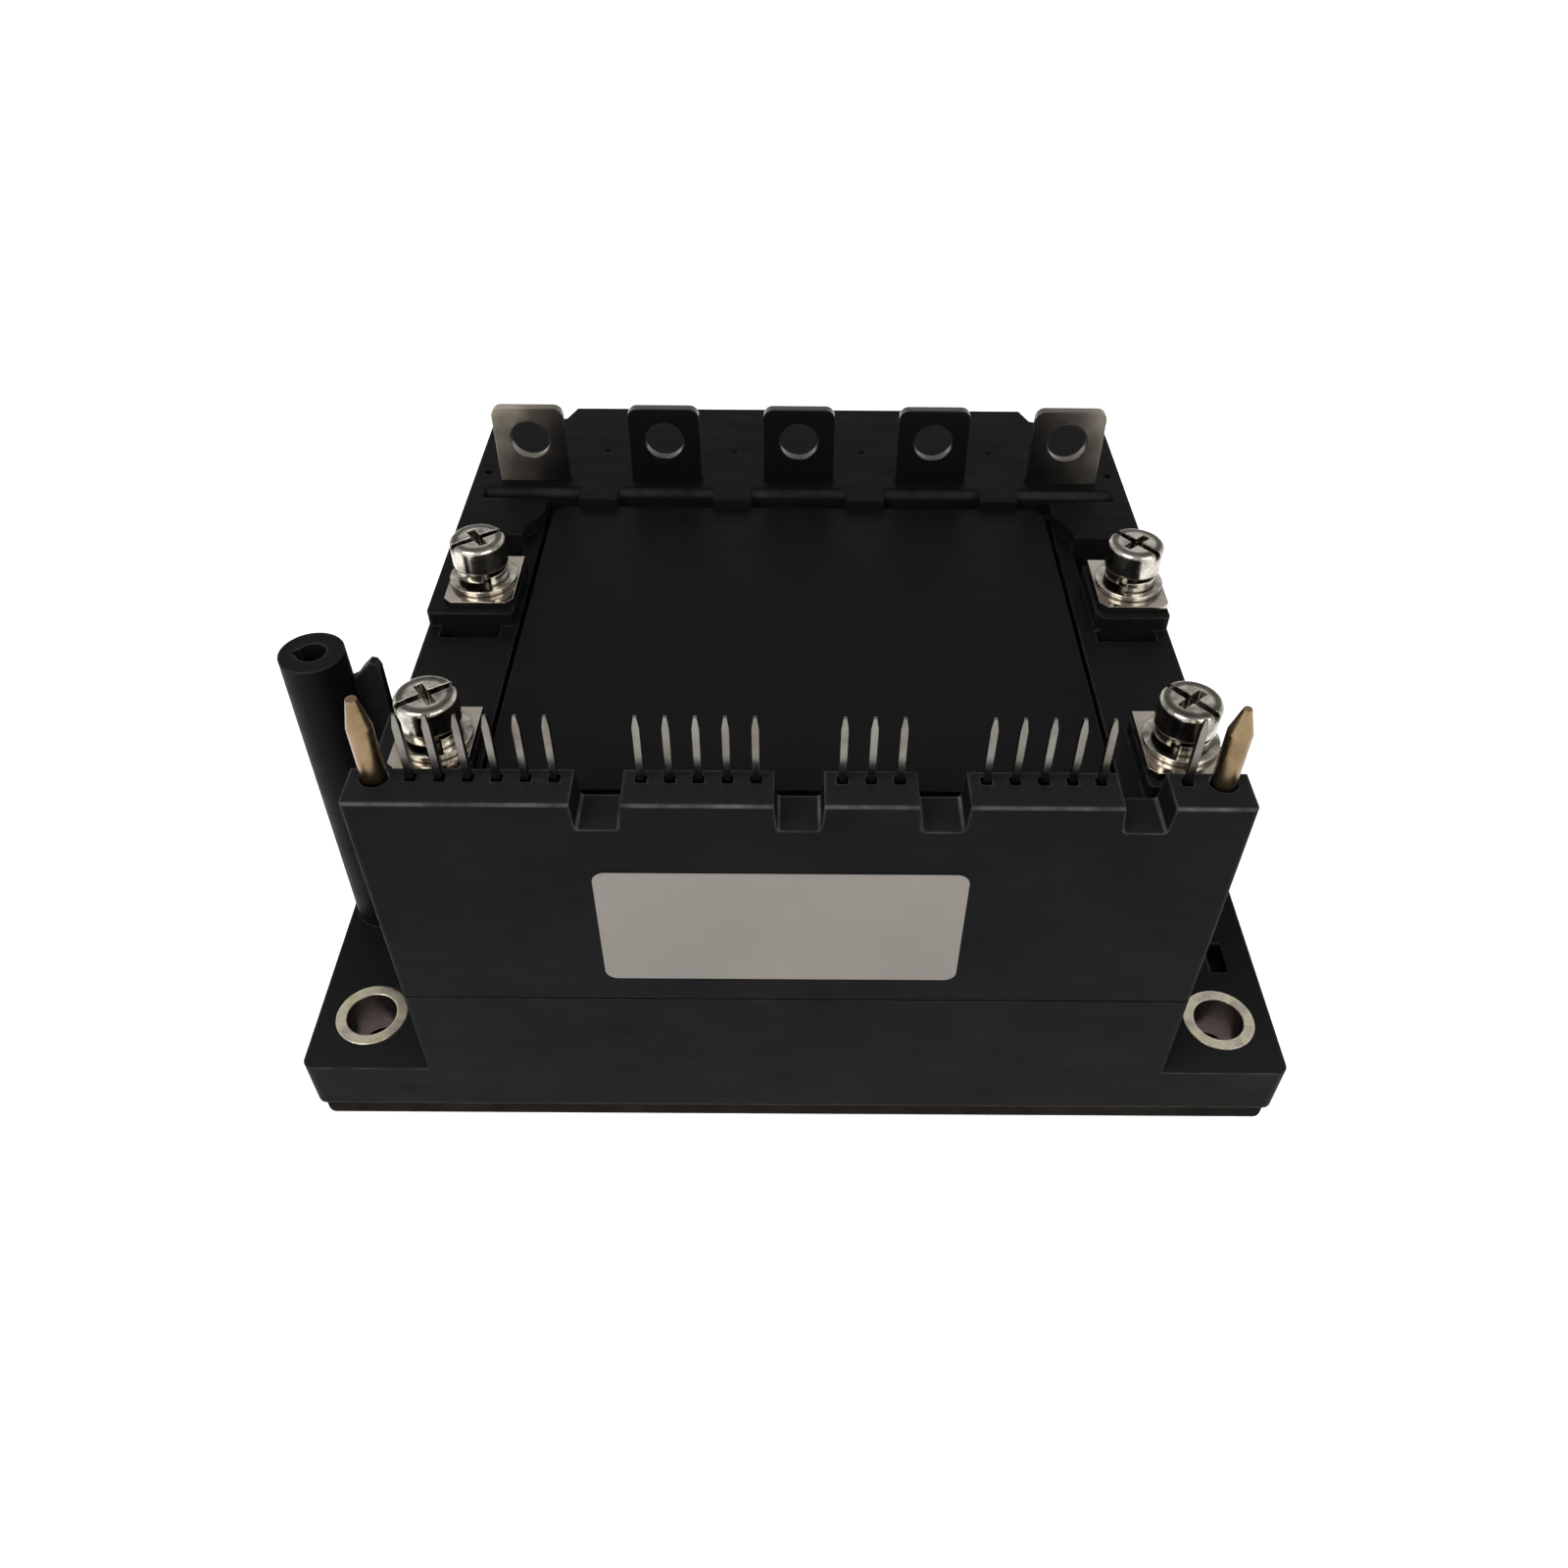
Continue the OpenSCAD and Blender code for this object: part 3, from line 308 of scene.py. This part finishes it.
def fill_corners(points):
    """The rear corners are cut back less: the side's end slides towards the back by CORNER_FILL and
    the flank's end by FLANK_FILL."""
    half_width, back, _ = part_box("upper_housing")[1]
    inwards = half_width - np.abs(points[:, 0])
    forwards = back - points[:, 1]
    side_end = (np.abs(inwards) < NEAR) & (np.abs(forwards - CORNER_D) < NEAR)
    flank_end = (np.abs(inwards - CORNER_L) < NEAR) & (np.abs(forwards - CORNER_FLANK) < NEAR)
    shift = np.zeros_like(points)
    shift[:, 1] = side_end * CORNER_FILL + flank_end * FLANK_FILL
    return shift


def ease_slots(points):
    """The rear corners as above, and the header's slots with steeper sides: a side's points move
    out by a distance that grows evenly from nothing at the top to SLOT_EASE at the floor."""
    low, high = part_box("upper_housing")
    depth = (high[2] - points[:, 2]) / SLOT_D
    in_header = (depth > -SLOT_MARGIN) & (depth < 1 + SLOT_MARGIN)
    in_header &= points[:, 1] < low[1] + HEADER_D + NEAR
    shift = fill_corners(points)
    for left, right in zip(PIN_GROUPS, PIN_GROUPS[1:]):
        side = points[:, 0] - (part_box(left)[1][0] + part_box(right)[0][0]) / 2
        in_slot = in_header & (np.abs(side) < SLOT_W / 2 + NEAR)
        shift[:, 0] += in_slot * np.sign(side) * depth * SLOT_EASE
    return shift


def finish_with(material, *pieces):
    """Gives new pieces their finish, in place of the one that they were copied with."""
    for piece in pieces:
        piece.data.materials.clear()
        piece.data.materials.append(material)


case_plastic = moulded_plastic(
    "case_plastic", CASE_BLACK, CASE_WORN_HIGHLIGHT, CASE_GRAIN, CASE_EDGE, dullness=0.50, depth=0.000012,
    film=CASE_DUST_AND_LIGHT)
dress(case_plastic, "lower_case", "upper_housing")
finish_with(case_plastic,
            moved_copy("lower_case_shell", "lower_case", fill_corners),
            moved_copy("upper_housing_shell", "upper_housing", ease_slots))

# ---------------------------------------------------------------- lid
# Flat black cover of the same plastic, dropped into its recess and glued. Its
# tool was smoother, so it is a little slicker than the case.

LID_BLACK = (0.0048, 0.0048, 0.0050)
# the lid's worn skin and painted highlight on edges
LID_WORN_HIGHLIGHT = (0.045, 0.045, 0.045)
# the lid's tops lightened by a dust film and painted light, from front to back
LID_DUST_AND_LIGHT = (1.3, 0.9, 0.7)
LID_GRAIN = 0.00024
LID_EDGE = 0.00020
LID_R = 0.002
LID_MARGIN = 0.0001
LID_REACH = 0.00065


def push_forward(points):
    """The lid's front edge, with its round corners, moves up to the deck's edge; the rest stays."""
    shift = np.zeros_like(points)
    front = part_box("lid")[0][1]
    shift[:, 1] = (points[:, 1] < front + LID_R + LID_MARGIN) * -LID_REACH
    return shift


lid_plastic = moulded_plastic(
    "lid_plastic", LID_BLACK, LID_WORN_HIGHLIGHT, LID_GRAIN, LID_EDGE, dullness=0.44, depth=0.000008,
    film=LID_DUST_AND_LIGHT)
dress(lid_plastic, "lid")
finish_with(lid_plastic, moved_copy("lid_cover", "lid", push_forward))

# ---------------------------------------------------------------- baseplate
# Copper plate, ground flat, that carries the tiles and meets the heat sink.
# Only its edge shows below the flange, painted near black and without shine: oxidised copper and
# painted shade.

PLATE_COPPER = (0.42, 0.25, 0.17)
PLATE_WORN = (0.30, 0.17, 0.11)
# near black of the edges in two clouded tones: oxidised copper and painted shade
PLATE_SHADED_OXIDE = (0.020, 0.017, 0.014)
PLATE_SHADED_STAIN = (0.012, 0.0100, 0.0085)
PLATE_CLOUD = 0.004
PLATE_EDGE = 0.00012
PLATE_SPREAD = 0.0006
# points this near the plate's sides belong to its outline
PLATE_RIM = 0.0013


def spread_edge(points):
    """The points of the plate's outline, and not of its holes, move out by PLATE_SPREAD along X
    and Y."""
    high = np.array(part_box("baseplate")[1])[:2]
    outer = (np.abs(points[:, :2]) > high - PLATE_RIM).any(axis=1)
    shift = np.zeros_like(points)
    shift[:, :2] = outer[:, None] * np.sign(points[:, :2]) * PLATE_SPREAD
    return shift


def shaded_oxidised_plate(name):
    """Ground copper below; its edges and whatever doesn't face down are dull and painted near
    black without shine, oxidised copper and painted shade.
    """
    material, tree, shader = new_material(name)
    shader.inputs["Specular IOR Level"].default_value = 0.0
    split = node(tree, "SeparateXYZ")
    tree.links.new(node(tree, "NewGeometry").outputs["True Normal"], split.inputs["Vector"])
    down = math_node(tree, "MULTIPLY", split.outputs["Z"], -1.0)
    ground = ramp(tree, down, (0.5, 0.0), (0.9, 1.0))
    cloud = noise(tree, PLATE_CLOUD, detail=4.0)
    shaded_oxide = ramp(tree, cloud, (0.30, PLATE_SHADED_STAIN), (0.65, PLATE_SHADED_OXIDE))
    bare = ramp(tree, cloud, (0.30, PLATE_WORN), (0.65, PLATE_COPPER))
    tree.links.new(blend_colours(tree, ground, shaded_oxide, bare), shader.inputs["Base Color"])
    tree.links.new(ramp(tree, ground, (0.0, 0.0), (1.0, 1.0)), shader.inputs["Metallic"])
    dull(tree, shader, noise(tree, size=0.0012, detail=4.0), low=0.37, high=0.47)
    ground_lines = noise(tree, size=0.0001, stretch=(14, 1, 1), detail=2.0)
    bump(tree, shader, ground_lines, depth=0.000003, strength=0.5,
         base_normal=rounded_normal(tree, PLATE_EDGE))
    return material


shaded_oxidised_copper = shaded_oxidised_plate("shaded_oxidised_copper")
dress(shaded_oxidised_copper, "baseplate")
finish_with(shaded_oxidised_copper,
            moved_copy("baseplate_edge", "baseplate", spread_edge))

# ---------------------------------------------------------------- mounting bushes
# Four turned steel collars in the flange's holes, yellow passivated, with
# fine turning rings and a trace of rainbow.

BUSH_STRAW = (0.62, 0.53, 0.32)
BUSH_PALE = (0.78, 0.73, 0.55)
BUSH_TAN = (0.56, 0.49, 0.41)
# walls and bore: mauve tint, darkened as painted shade
BUSH_SHADED_MAUVE = (0.135, 0.095, 0.092)
BUSH_EDGE = 0.00025


def passivated(name):
    """Yellow passivation: straw, pale and tan clouds on the tops, walls and bore painted dark
    mauve, a mauve tint with painted shade, fine turning marks.
    """
    material, tree, shader = new_material(name)
    shader.inputs["Metallic"].default_value = 1.0
    cloud = noise(tree, size=0.002, detail=4.0)
    tint = ramp(tree, cloud, (0.30, BUSH_STRAW), (0.48, BUSH_PALE), (0.66, BUSH_TAN))
    face = ramp(tree, facing_up(tree), (0.15, 0.0), (0.60, 1.0))
    tree.links.new(blend_colours(tree, face, BUSH_SHADED_MAUVE, tint), shader.inputs["Base Color"])
    dull(tree, shader, noise(tree, size=0.0008, detail=3.0), low=0.26, high=0.42)
    turning = noise(tree, size=0.00012, stretch=(6, 6, 1), detail=2.0)
    bump(tree, shader, turning, depth=0.000004, strength=0.5,
         base_normal=rounded_normal(tree, BUSH_EDGE))
    return material


dress(passivated("bush_finish"), "mounting_bushes")

# ---------------------------------------------------------------- terminals
# Side terminals and upright blades are stamped copper strip, tin plated. The
# side terminals are a soft mirror with faint rolling lines, and the blades
# have gone dark; the outer blades are painted pale towards their outer upper
# corners, dull tin with a painted highlight that is weaker on the right.

STRIP_TIN = (0.50, 0.455, 0.40)
STRIP_AGED = (0.38, 0.33, 0.275)
# dark painted into corners and recesses of the metal: painted shade
METAL_CORNER_SHADE = (0.03, 0.026, 0.022)
BLADE_DARK = (0.075, 0.068, 0.063)
BLADE_PALE_HIGHLIGHT = (0.30, 0.262, 0.20)
BLADE_EDGE = 0.0002
# the share of dull tin and painted highlight: so much for the way out, so much for the way up over
# this height
LIT_TIN_OUT = 0.65
LIT_TIN_UP = 0.35
LIT_TIN_HEIGHT = 0.011
LIT_TIN_START = 0.002
LIT_TIN_POWER = 1.8
# on the right the painted highlight is weaker
LIT_TIN_RIGHT = 0.62


def metal(name, colour, stain, dullness, grain, depth, stretch=(1, 1, 1), edge=0.00012,
          spread=0.05, reach=0.0009, deepest=0.25, patch=0.0035):
    """Plated or bare metal: slow clouds of stain, corners and recesses painted dark as shade, faint
    bump, rounded edges.
    """
    material, tree, shader = new_material(name)
    shader.inputs["Metallic"].default_value = 1.0
    plated = ramp(tree, noise(tree, patch, detail=3.0), (0.30, stain), (0.62, colour))
    corner_shaded = blend_colours(tree, crevice_shade(tree, reach, deepest), METAL_CORNER_SHADE, plated)
    tree.links.new(corner_shaded, shader.inputs["Base Color"])
    dull(tree, shader, noise(tree, size=0.0012, detail=4.0), dullness - spread, dullness + spread)
    marks = noise(tree, grain, stretch, detail=2.0)
    bump(tree, shader, marks, depth, strength=0.5, base_normal=rounded_normal(tree, edge))
    return material


strip_plating = metal(
    "strip_plating", STRIP_TIN, STRIP_AGED, dullness=0.13, grain=0.00012, depth=0.0000003,
    stretch=(1, 1, 18), spread=0.02, reach=0.004, deepest=0.15)
dress(strip_plating, "side_terminal_lf", "side_terminal_lr", "side_terminal_rf", "side_terminal_rr")


def browned_blade(name):
    """Aged strip: dark and oxidised, but the two outer blades are painted pale, most towards the
    outer upper corner: dull tinning and a painted highlight. Its share is the way out plus the way
    up, times a cloud, raised to a power, and falls to LIT_TIN_RIGHT on the right, where the painted
    highlight is weaker."""
    material, tree, shader = new_material(name)
    (inner, _, _), (outer, _, top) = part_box("blade_5")
    place = place_on_part(tree)
    wide = math_node(tree, "ABSOLUTE", place["X"], 0.0)
    way_out = between(tree, wide, inner, outer, high=LIT_TIN_OUT)
    way_up = between(tree, place["Z"], top - LIT_TIN_HEIGHT, top, high=LIT_TIN_UP)
    outer_ones = between(tree, wide, inner - LIT_TIN_START, inner - LIT_TIN_START / 2)
    tin_and_highlight = math_node(tree, "MULTIPLY", math_node(tree, "ADD", way_out, way_up), outer_ones)
    cloud = ramp(tree, noise(tree, size=0.003, detail=3.0), (0.3, 0.75), (0.7, 1.15))
    patchy = math_node(tree, "MULTIPLY", tin_and_highlight, cloud, clamp=True)
    right = between(tree, place["X"], -inner, inner, low=1.0, high=LIT_TIN_RIGHT)
    tin_and_highlight = math_node(tree, "MULTIPLY", math_node(tree, "POWER", patchy, LIT_TIN_POWER), right)
    tree.links.new(blend_colours(tree, tin_and_highlight, BLADE_DARK, BLADE_PALE_HIGHLIGHT), shader.inputs["Base Color"])
    tree.links.new(ramp(tree, tin_and_highlight, (0.0, 1.0), (1.0, 0.3)), shader.inputs["Metallic"])
    tree.links.new(ramp(tree, tin_and_highlight, (0.0, 0.30), (1.0, 0.45)), shader.inputs["Roughness"])
    rolling = noise(tree, size=0.0002, stretch=(1, 1, 12), detail=2.0)
    bump(tree, shader, rolling, depth=0.000002, strength=0.5,
         base_normal=rounded_normal(tree, BLADE_EDGE))
    return material


dress(browned_blade("blade_plating"), "blade_1", "blade_2", "blade_3", "blade_4", "blade_5")

# ---------------------------------------------------------------- screws and washers
# M3 pan-head screws with split and flat washers, nickel plated and bright,
# driven into captive nuts under the pedestals.

SCREW_NICKEL = (0.60, 0.565, 0.50)
SCREW_STAIN = (0.15, 0.135, 0.11)
# dark reflection painted in a ring on the heads' tops
SCREW_DARK_REFLECTION = (0.045, 0.040, 0.034)
HEAD_R = 0.00295
# how dark the painted reflection ring is, at shares of the head's radius
DARK_REFLECTION_RING = ((0.62, 0.0), (0.72, 0.85), (0.86, 0.85), (0.93, 0.0))

screw_plating = metal(
    "screw_plating", SCREW_NICKEL, SCREW_STAIN, dullness=0.18, grain=0.0005, depth=0.000012,
    edge=0.0003, reach=0.0012, deepest=0.35, patch=0.0016)
dress(screw_plating, "spring_washers", "flat_washers", "captive_nuts")


def heads_with_dark_reflection(name, axes):
    """The screws' plating, with a dark ring painted on each head's top, inside its rim, as a
    painted
    dark reflection: the ring follows the distance from the nearest of the screws' axes."""
    material = screw_plating.copy()
    material.name = name
    tree = material.node_tree
    shader = tree.nodes["Principled BSDF"]
    place = node(tree, "TexCoord").outputs["Object"]
    nearest = 1.0
    for axis in axes:
        level = node(tree, "Mapping", {"Location": (-axis[0], -axis[1], 0), "Scale": (1, 1, 0)})
        tree.links.new(place, level.inputs["Vector"])
        reach = node(tree, "VectorMath", operation="LENGTH")
        tree.links.new(level.outputs["Vector"], reach.inputs[0])
        nearest = math_node(tree, "MINIMUM", reach.outputs["Value"], nearest)
    ring = ramp(tree, math_node(tree, "DIVIDE", nearest, HEAD_R), *DARK_REFLECTION_RING)
    top = ramp(tree, facing_up(tree), (0.90, 0.0), (0.99, 1.0))
    plated = shader.inputs["Base Color"].links[0].from_socket
    share = math_node(tree, "MULTIPLY", ring, top)
    tree.links.new(blend_colours(tree, share, plated, SCREW_DARK_REFLECTION), shader.inputs["Base Color"])
    return material


mounts = frame["record"]["mounts"]
screw_axes = [mount["pos_m"] for mount in mounts if mount["name"].startswith("screw_terminal")]
dress(heads_with_dark_reflection("screw_heads", screw_axes), "terminal_screws")

# ---------------------------------------------------------------- control pins
# Twenty square pins of tinned wire, their tips pressed to a blunt point. They
# pass through the header and stand in the drive board below.

PIN_TIN = (0.19, 0.178, 0.163)
PIN_AGED = (0.12, 0.108, 0.092)

pin_plating = metal(
    "pin_plating", PIN_TIN, PIN_AGED, dullness=0.24, grain=0.00008, depth=0.000001,
    stretch=(1, 1, 20), edge=0.00008)
dress(pin_plating, *PIN_GROUPS, "signal_pins")

# ---------------------------------------------------------------- guide pins
# Two brass pins turned to a blunt cone and pressed into the ends of the
# header, where they lead in whatever is plugged onto the control pins.

GUIDE_BRASS = (0.26, 0.185, 0.105)
GUIDE_AGED = (0.17, 0.115, 0.060)
GUIDE_R = 0.001125

guide_brass = metal(
    "guide_brass", GUIDE_BRASS, GUIDE_AGED, dullness=0.28, grain=0.00010, depth=0.000002,
    stretch=(12, 12, 1), edge=0.00015)
dress(guide_brass, "guide_pin_left", "guide_pin_right")


def slim_shank(pin):
    """Rule for one pin: points further from its axis than GUIDE_R are drawn straight in to it."""
    low, high = (np.array(c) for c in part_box(pin))
    axis = (low + high) / 2

    def shift(points):
        out = points[:, :2] - axis[:2]
        reach = np.maximum(np.hypot(out[:, 0], out[:, 1]), 1e-9)
        wanted = np.minimum(reach, GUIDE_R)
        moved = np.zeros_like(points)
        moved[:, :2] = out * (wanted / reach - 1)[:, None]
        return moved

    return shift


for pin in ("guide_pin_left", "guide_pin_right"):
    finish_with(guide_brass, moved_copy(pin + "_straight", pin, slim_shank(pin)))

# ---------------------------------------------------------------- label
# Silver-grey polyester film with rounded corners, stuck on the front wall and
# left bare.

LABEL_GREY = (0.205, 0.183, 0.166)
LABEL_TONES = (0.93, 1.06)
LABEL_SHINE = 0.35


def label_film():
    """Satin film: a faint grain and a slow change of grey and of dullness."""
    material, tree, shader = new_material("label_film")
    shader.inputs["Specular IOR Level"].default_value = LABEL_SHINE
    cloud = noise(tree, size=0.012, detail=3.0)
    low, high = (tuple(v * tone for v in LABEL_GREY) for tone in LABEL_TONES)
    tree.links.new(ramp(tree, cloud, (0.3, low), (0.7, high)), shader.inputs["Base Color"])
    dull(tree, shader, noise(tree, size=0.0015, detail=4.0), low=0.40, high=0.52)
    bump(tree, shader, noise(tree, size=0.0002, detail=2.0), depth=0.000004, strength=0.35)
    return material


dress(label_film(), "label")

# ---------------------------------------------------------------- inside
# Closed in and never seen: ceramic tiles with copper tracks, chips and
# ribbons under clear gel, and the drive board above them.


def plain_finish(name, colour, dullness, grain, spread, metallic, clear):
    """Inner piece: its colour in soft clouds, and an even grain."""
    material, tree, shader = new_material(name)
    shader.inputs["Metallic"].default_value = metallic
    shader.inputs["Roughness"].default_value = dullness
    shader.inputs["Transmission Weight"].default_value = clear
    low = tuple(v * (1 - spread) for v in colour)
    clouded = ramp(tree, noise(tree, grain * 8), (0.3, low), (0.7, colour))
    tree.links.new(clouded, shader.inputs["Base Color"])
    bump(tree, shader, noise(tree, grain), depth=grain / 40, strength=0.4)
    return material


# each piece's finish: its name, colour, dullness, grain, spread, metallic share and clearness
INNER_FINISHES = {
    "ceramic_tiles": ("ceramic", (0.80, 0.78, 0.70), 0.45, 0.0003, 0.05, 0.0, 0.0),
    "copper_tracks": ("copper", (0.80, 0.40, 0.22), 0.32, 0.0002, 0.2, 1.0, 0.0),
    "igbt_chips": ("transistor_silicon", (0.30, 0.31, 0.34), 0.22, 0.0002, 0.1, 1.0, 0.0),
    "diode_chips": ("diode_silicon", (0.24, 0.25, 0.28), 0.22, 0.0002, 0.1, 1.0, 0.0),
    "bond_ribbons": ("bond_aluminium", (0.78, 0.78, 0.80), 0.30, 0.0001, 0.1, 1.0, 0.0),
    "gel_fill": ("silicone_gel", (0.80, 0.86, 0.90), 0.12, 0.002, 0.03, 0.0, 0.9),
    "control_board": ("board_laminate", (0.015, 0.10, 0.035), 0.35, 0.0004, 0.2, 0.0, 0.0),
    "driver_chips": ("chip_resin", (0.020, 0.020, 0.022), 0.55, 0.0002, 0.2, 0.0, 0.0),
    "board_capacitors": ("capacitor_case", (0.50, 0.16, 0.03), 0.35, 0.0003, 0.15, 0.0, 0.0),
}
for piece, finish in INNER_FINISHES.items():
    dress(plain_finish(*finish), piece)

# ---------------------------------------------------------------- stage
# White floor and surroundings. What the camera sees is white, and the metal
# sees a white room with a dimmer ceiling; the floor keeps the part's shadow.

ROOM_LIGHT = (0.50, 0.50, 0.50)
# how bright the room is, from the horizon to overhead
ROOM_HEIGHTS = ((0.05, 1.0), (0.45, 0.80), (0.75, 0.55), (1.0, 0.25))
FLOOR_HALF = 1.2
FLOOR_WHITE = (0.82, 0.82, 0.82)
FLOOR_DULL = 0.9
FLOOR_GLOW = 0.62
LAMP_AIM = (0, 0, 0.03)


def white_surroundings():
    """World: white to the eye, half as bright as a light, and in reflections white at the horizon
    and dimmer overhead."""
    world = bpy.data.worlds.new("studio")
    bpy.context.scene.world = world
    world.use_nodes = True
    tree = world.node_tree
    rays = node(tree, "LightPath")
    height = node(tree, "SeparateXYZ")
    tree.links.new(node(tree, "TexCoord").outputs["Generated"], height.inputs["Vector"])
    room = ramp(tree, height.outputs["Z"], *ROOM_HEIGHTS)
    light = blend_colours(tree, rays.outputs["Is Glossy Ray"], ROOM_LIGHT, room)
    seen, through = rays.outputs["Is Camera Ray"], rays.outputs["Is Transmission Ray"]
    plain = math_node(tree, "MAXIMUM", seen, through)
    shown = blend_colours(tree, plain, light, (1.0, 1.0, 1.0))
    tree.links.new(shown, tree.nodes["Background"].inputs["Color"])
    tree.nodes["Background"].inputs["Strength"].default_value = 1.0


def floor():
    """Square of white floor; to the camera it glows a little, so that only the shadow is grey."""
    mesh = bpy.data.meshes.new("floor")
    corners = np.array([(-1, -1), (1, -1), (1, 1), (-1, 1)]) * FLOOR_HALF
    mesh.from_pydata([(x, y, 0.0) for x, y in corners], [], [(0, 1, 2, 3)])
    made = bpy.data.objects.new("floor", mesh)
    bpy.context.scene.collection.objects.link(made)
    material, tree, shader = new_material("floor_white")
    shader.inputs["Base Color"].default_value = (*FLOOR_WHITE, 1)
    shader.inputs["Roughness"].default_value = FLOOR_DULL
    shader.inputs["Specular IOR Level"].default_value = 0.0
    shader.inputs["Emission Color"].default_value = (1, 1, 1, 1)
    rays = node(tree, "LightPath")
    seen = math_node(tree, "MAXIMUM", rays.outputs["Is Camera Ray"], rays.outputs["Is Glossy Ray"])
    seen = math_node(tree, "MAXIMUM", seen, rays.outputs["Is Transmission Ray"])
    glow = math_node(tree, "MULTIPLY", seen, FLOOR_GLOW)
    tree.links.new(glow, shader.inputs["Emission Strength"])
    mesh.materials.append(material)


def lamp(name, place, size, power, mirrored=True):
    """Soft square lamp, turned to look at the part; mirrored says if glossy faces show it."""
    light = bpy.data.lights.new(name, "AREA")
    light.size = size
    light.energy = power
    made = bpy.data.objects.new(name, light)
    bpy.context.scene.collection.objects.link(made)
    made.location = place
    made.visible_glossy = mirrored
    ahead = Vector(LAMP_AIM) - Vector(place)
    made.rotation_euler = ahead.to_track_quat("-Z", "Y").to_euler()


white_surroundings()
floor()
lamp("key_lamp", (-0.32, -0.34, 0.52), size=0.35, power=2.9)
lamp("front_lamp", (0.42, -0.46, 0.40), size=0.45, power=2.0)
lamp("back_lamp", (-0.20, 0.62, 0.16), size=0.45, power=1.8, mirrored=False)

# ---------------------------------------------------------------- camera
# Stands in front of the header and looks down on the part from close by, a
# little turned and rolled.

CAMERA_PLACE = Vector((-0.000885, -0.120863, 0.127191))
CAMERA_DOWN = math.radians(43.111)
CAMERA_ROLL = math.radians(-0.517)
CAMERA_TURN = math.radians(-0.208)
CAMERA_LENS = 29.0
CAMERA_SENSOR = 36.0
CAMERA_SHIFT = (-0.0056, -0.0147)
CAMERA_NEAR = 0.005


def camera():
    """Built from three axes: ahead and down are pitched, all turn about Z, then roll about the
    line of sight."""
    turn = Matrix.Rotation(CAMERA_TURN, 3, "Z")
    ahead = turn @ Vector((0, math.cos(CAMERA_DOWN), -math.sin(CAMERA_DOWN)))
    right = turn @ Vector((1, 0, 0))
    down = turn @ Vector((0, -math.sin(CAMERA_DOWN), -math.cos(CAMERA_DOWN)))
    level = math.cos(CAMERA_ROLL) * right + math.sin(CAMERA_ROLL) * down
    low = math.cos(CAMERA_ROLL) * down - math.sin(CAMERA_ROLL) * right
    data = bpy.data.cameras.new("camera")
    data.sensor_width = CAMERA_SENSOR
    data.lens = CAMERA_LENS
    data.shift_x, data.shift_y = CAMERA_SHIFT
    data.clip_start = CAMERA_NEAR
    made = bpy.data.objects.new("camera", data)
    bpy.context.scene.collection.objects.link(made)
    axes = Matrix((level, -low, -ahead)).transposed().to_4x4()
    made.matrix_world = Matrix.Translation(CAMERA_PLACE) @ axes
    bpy.context.scene.camera = made


camera()
bpy.context.scene.view_settings.view_transform = "Standard"
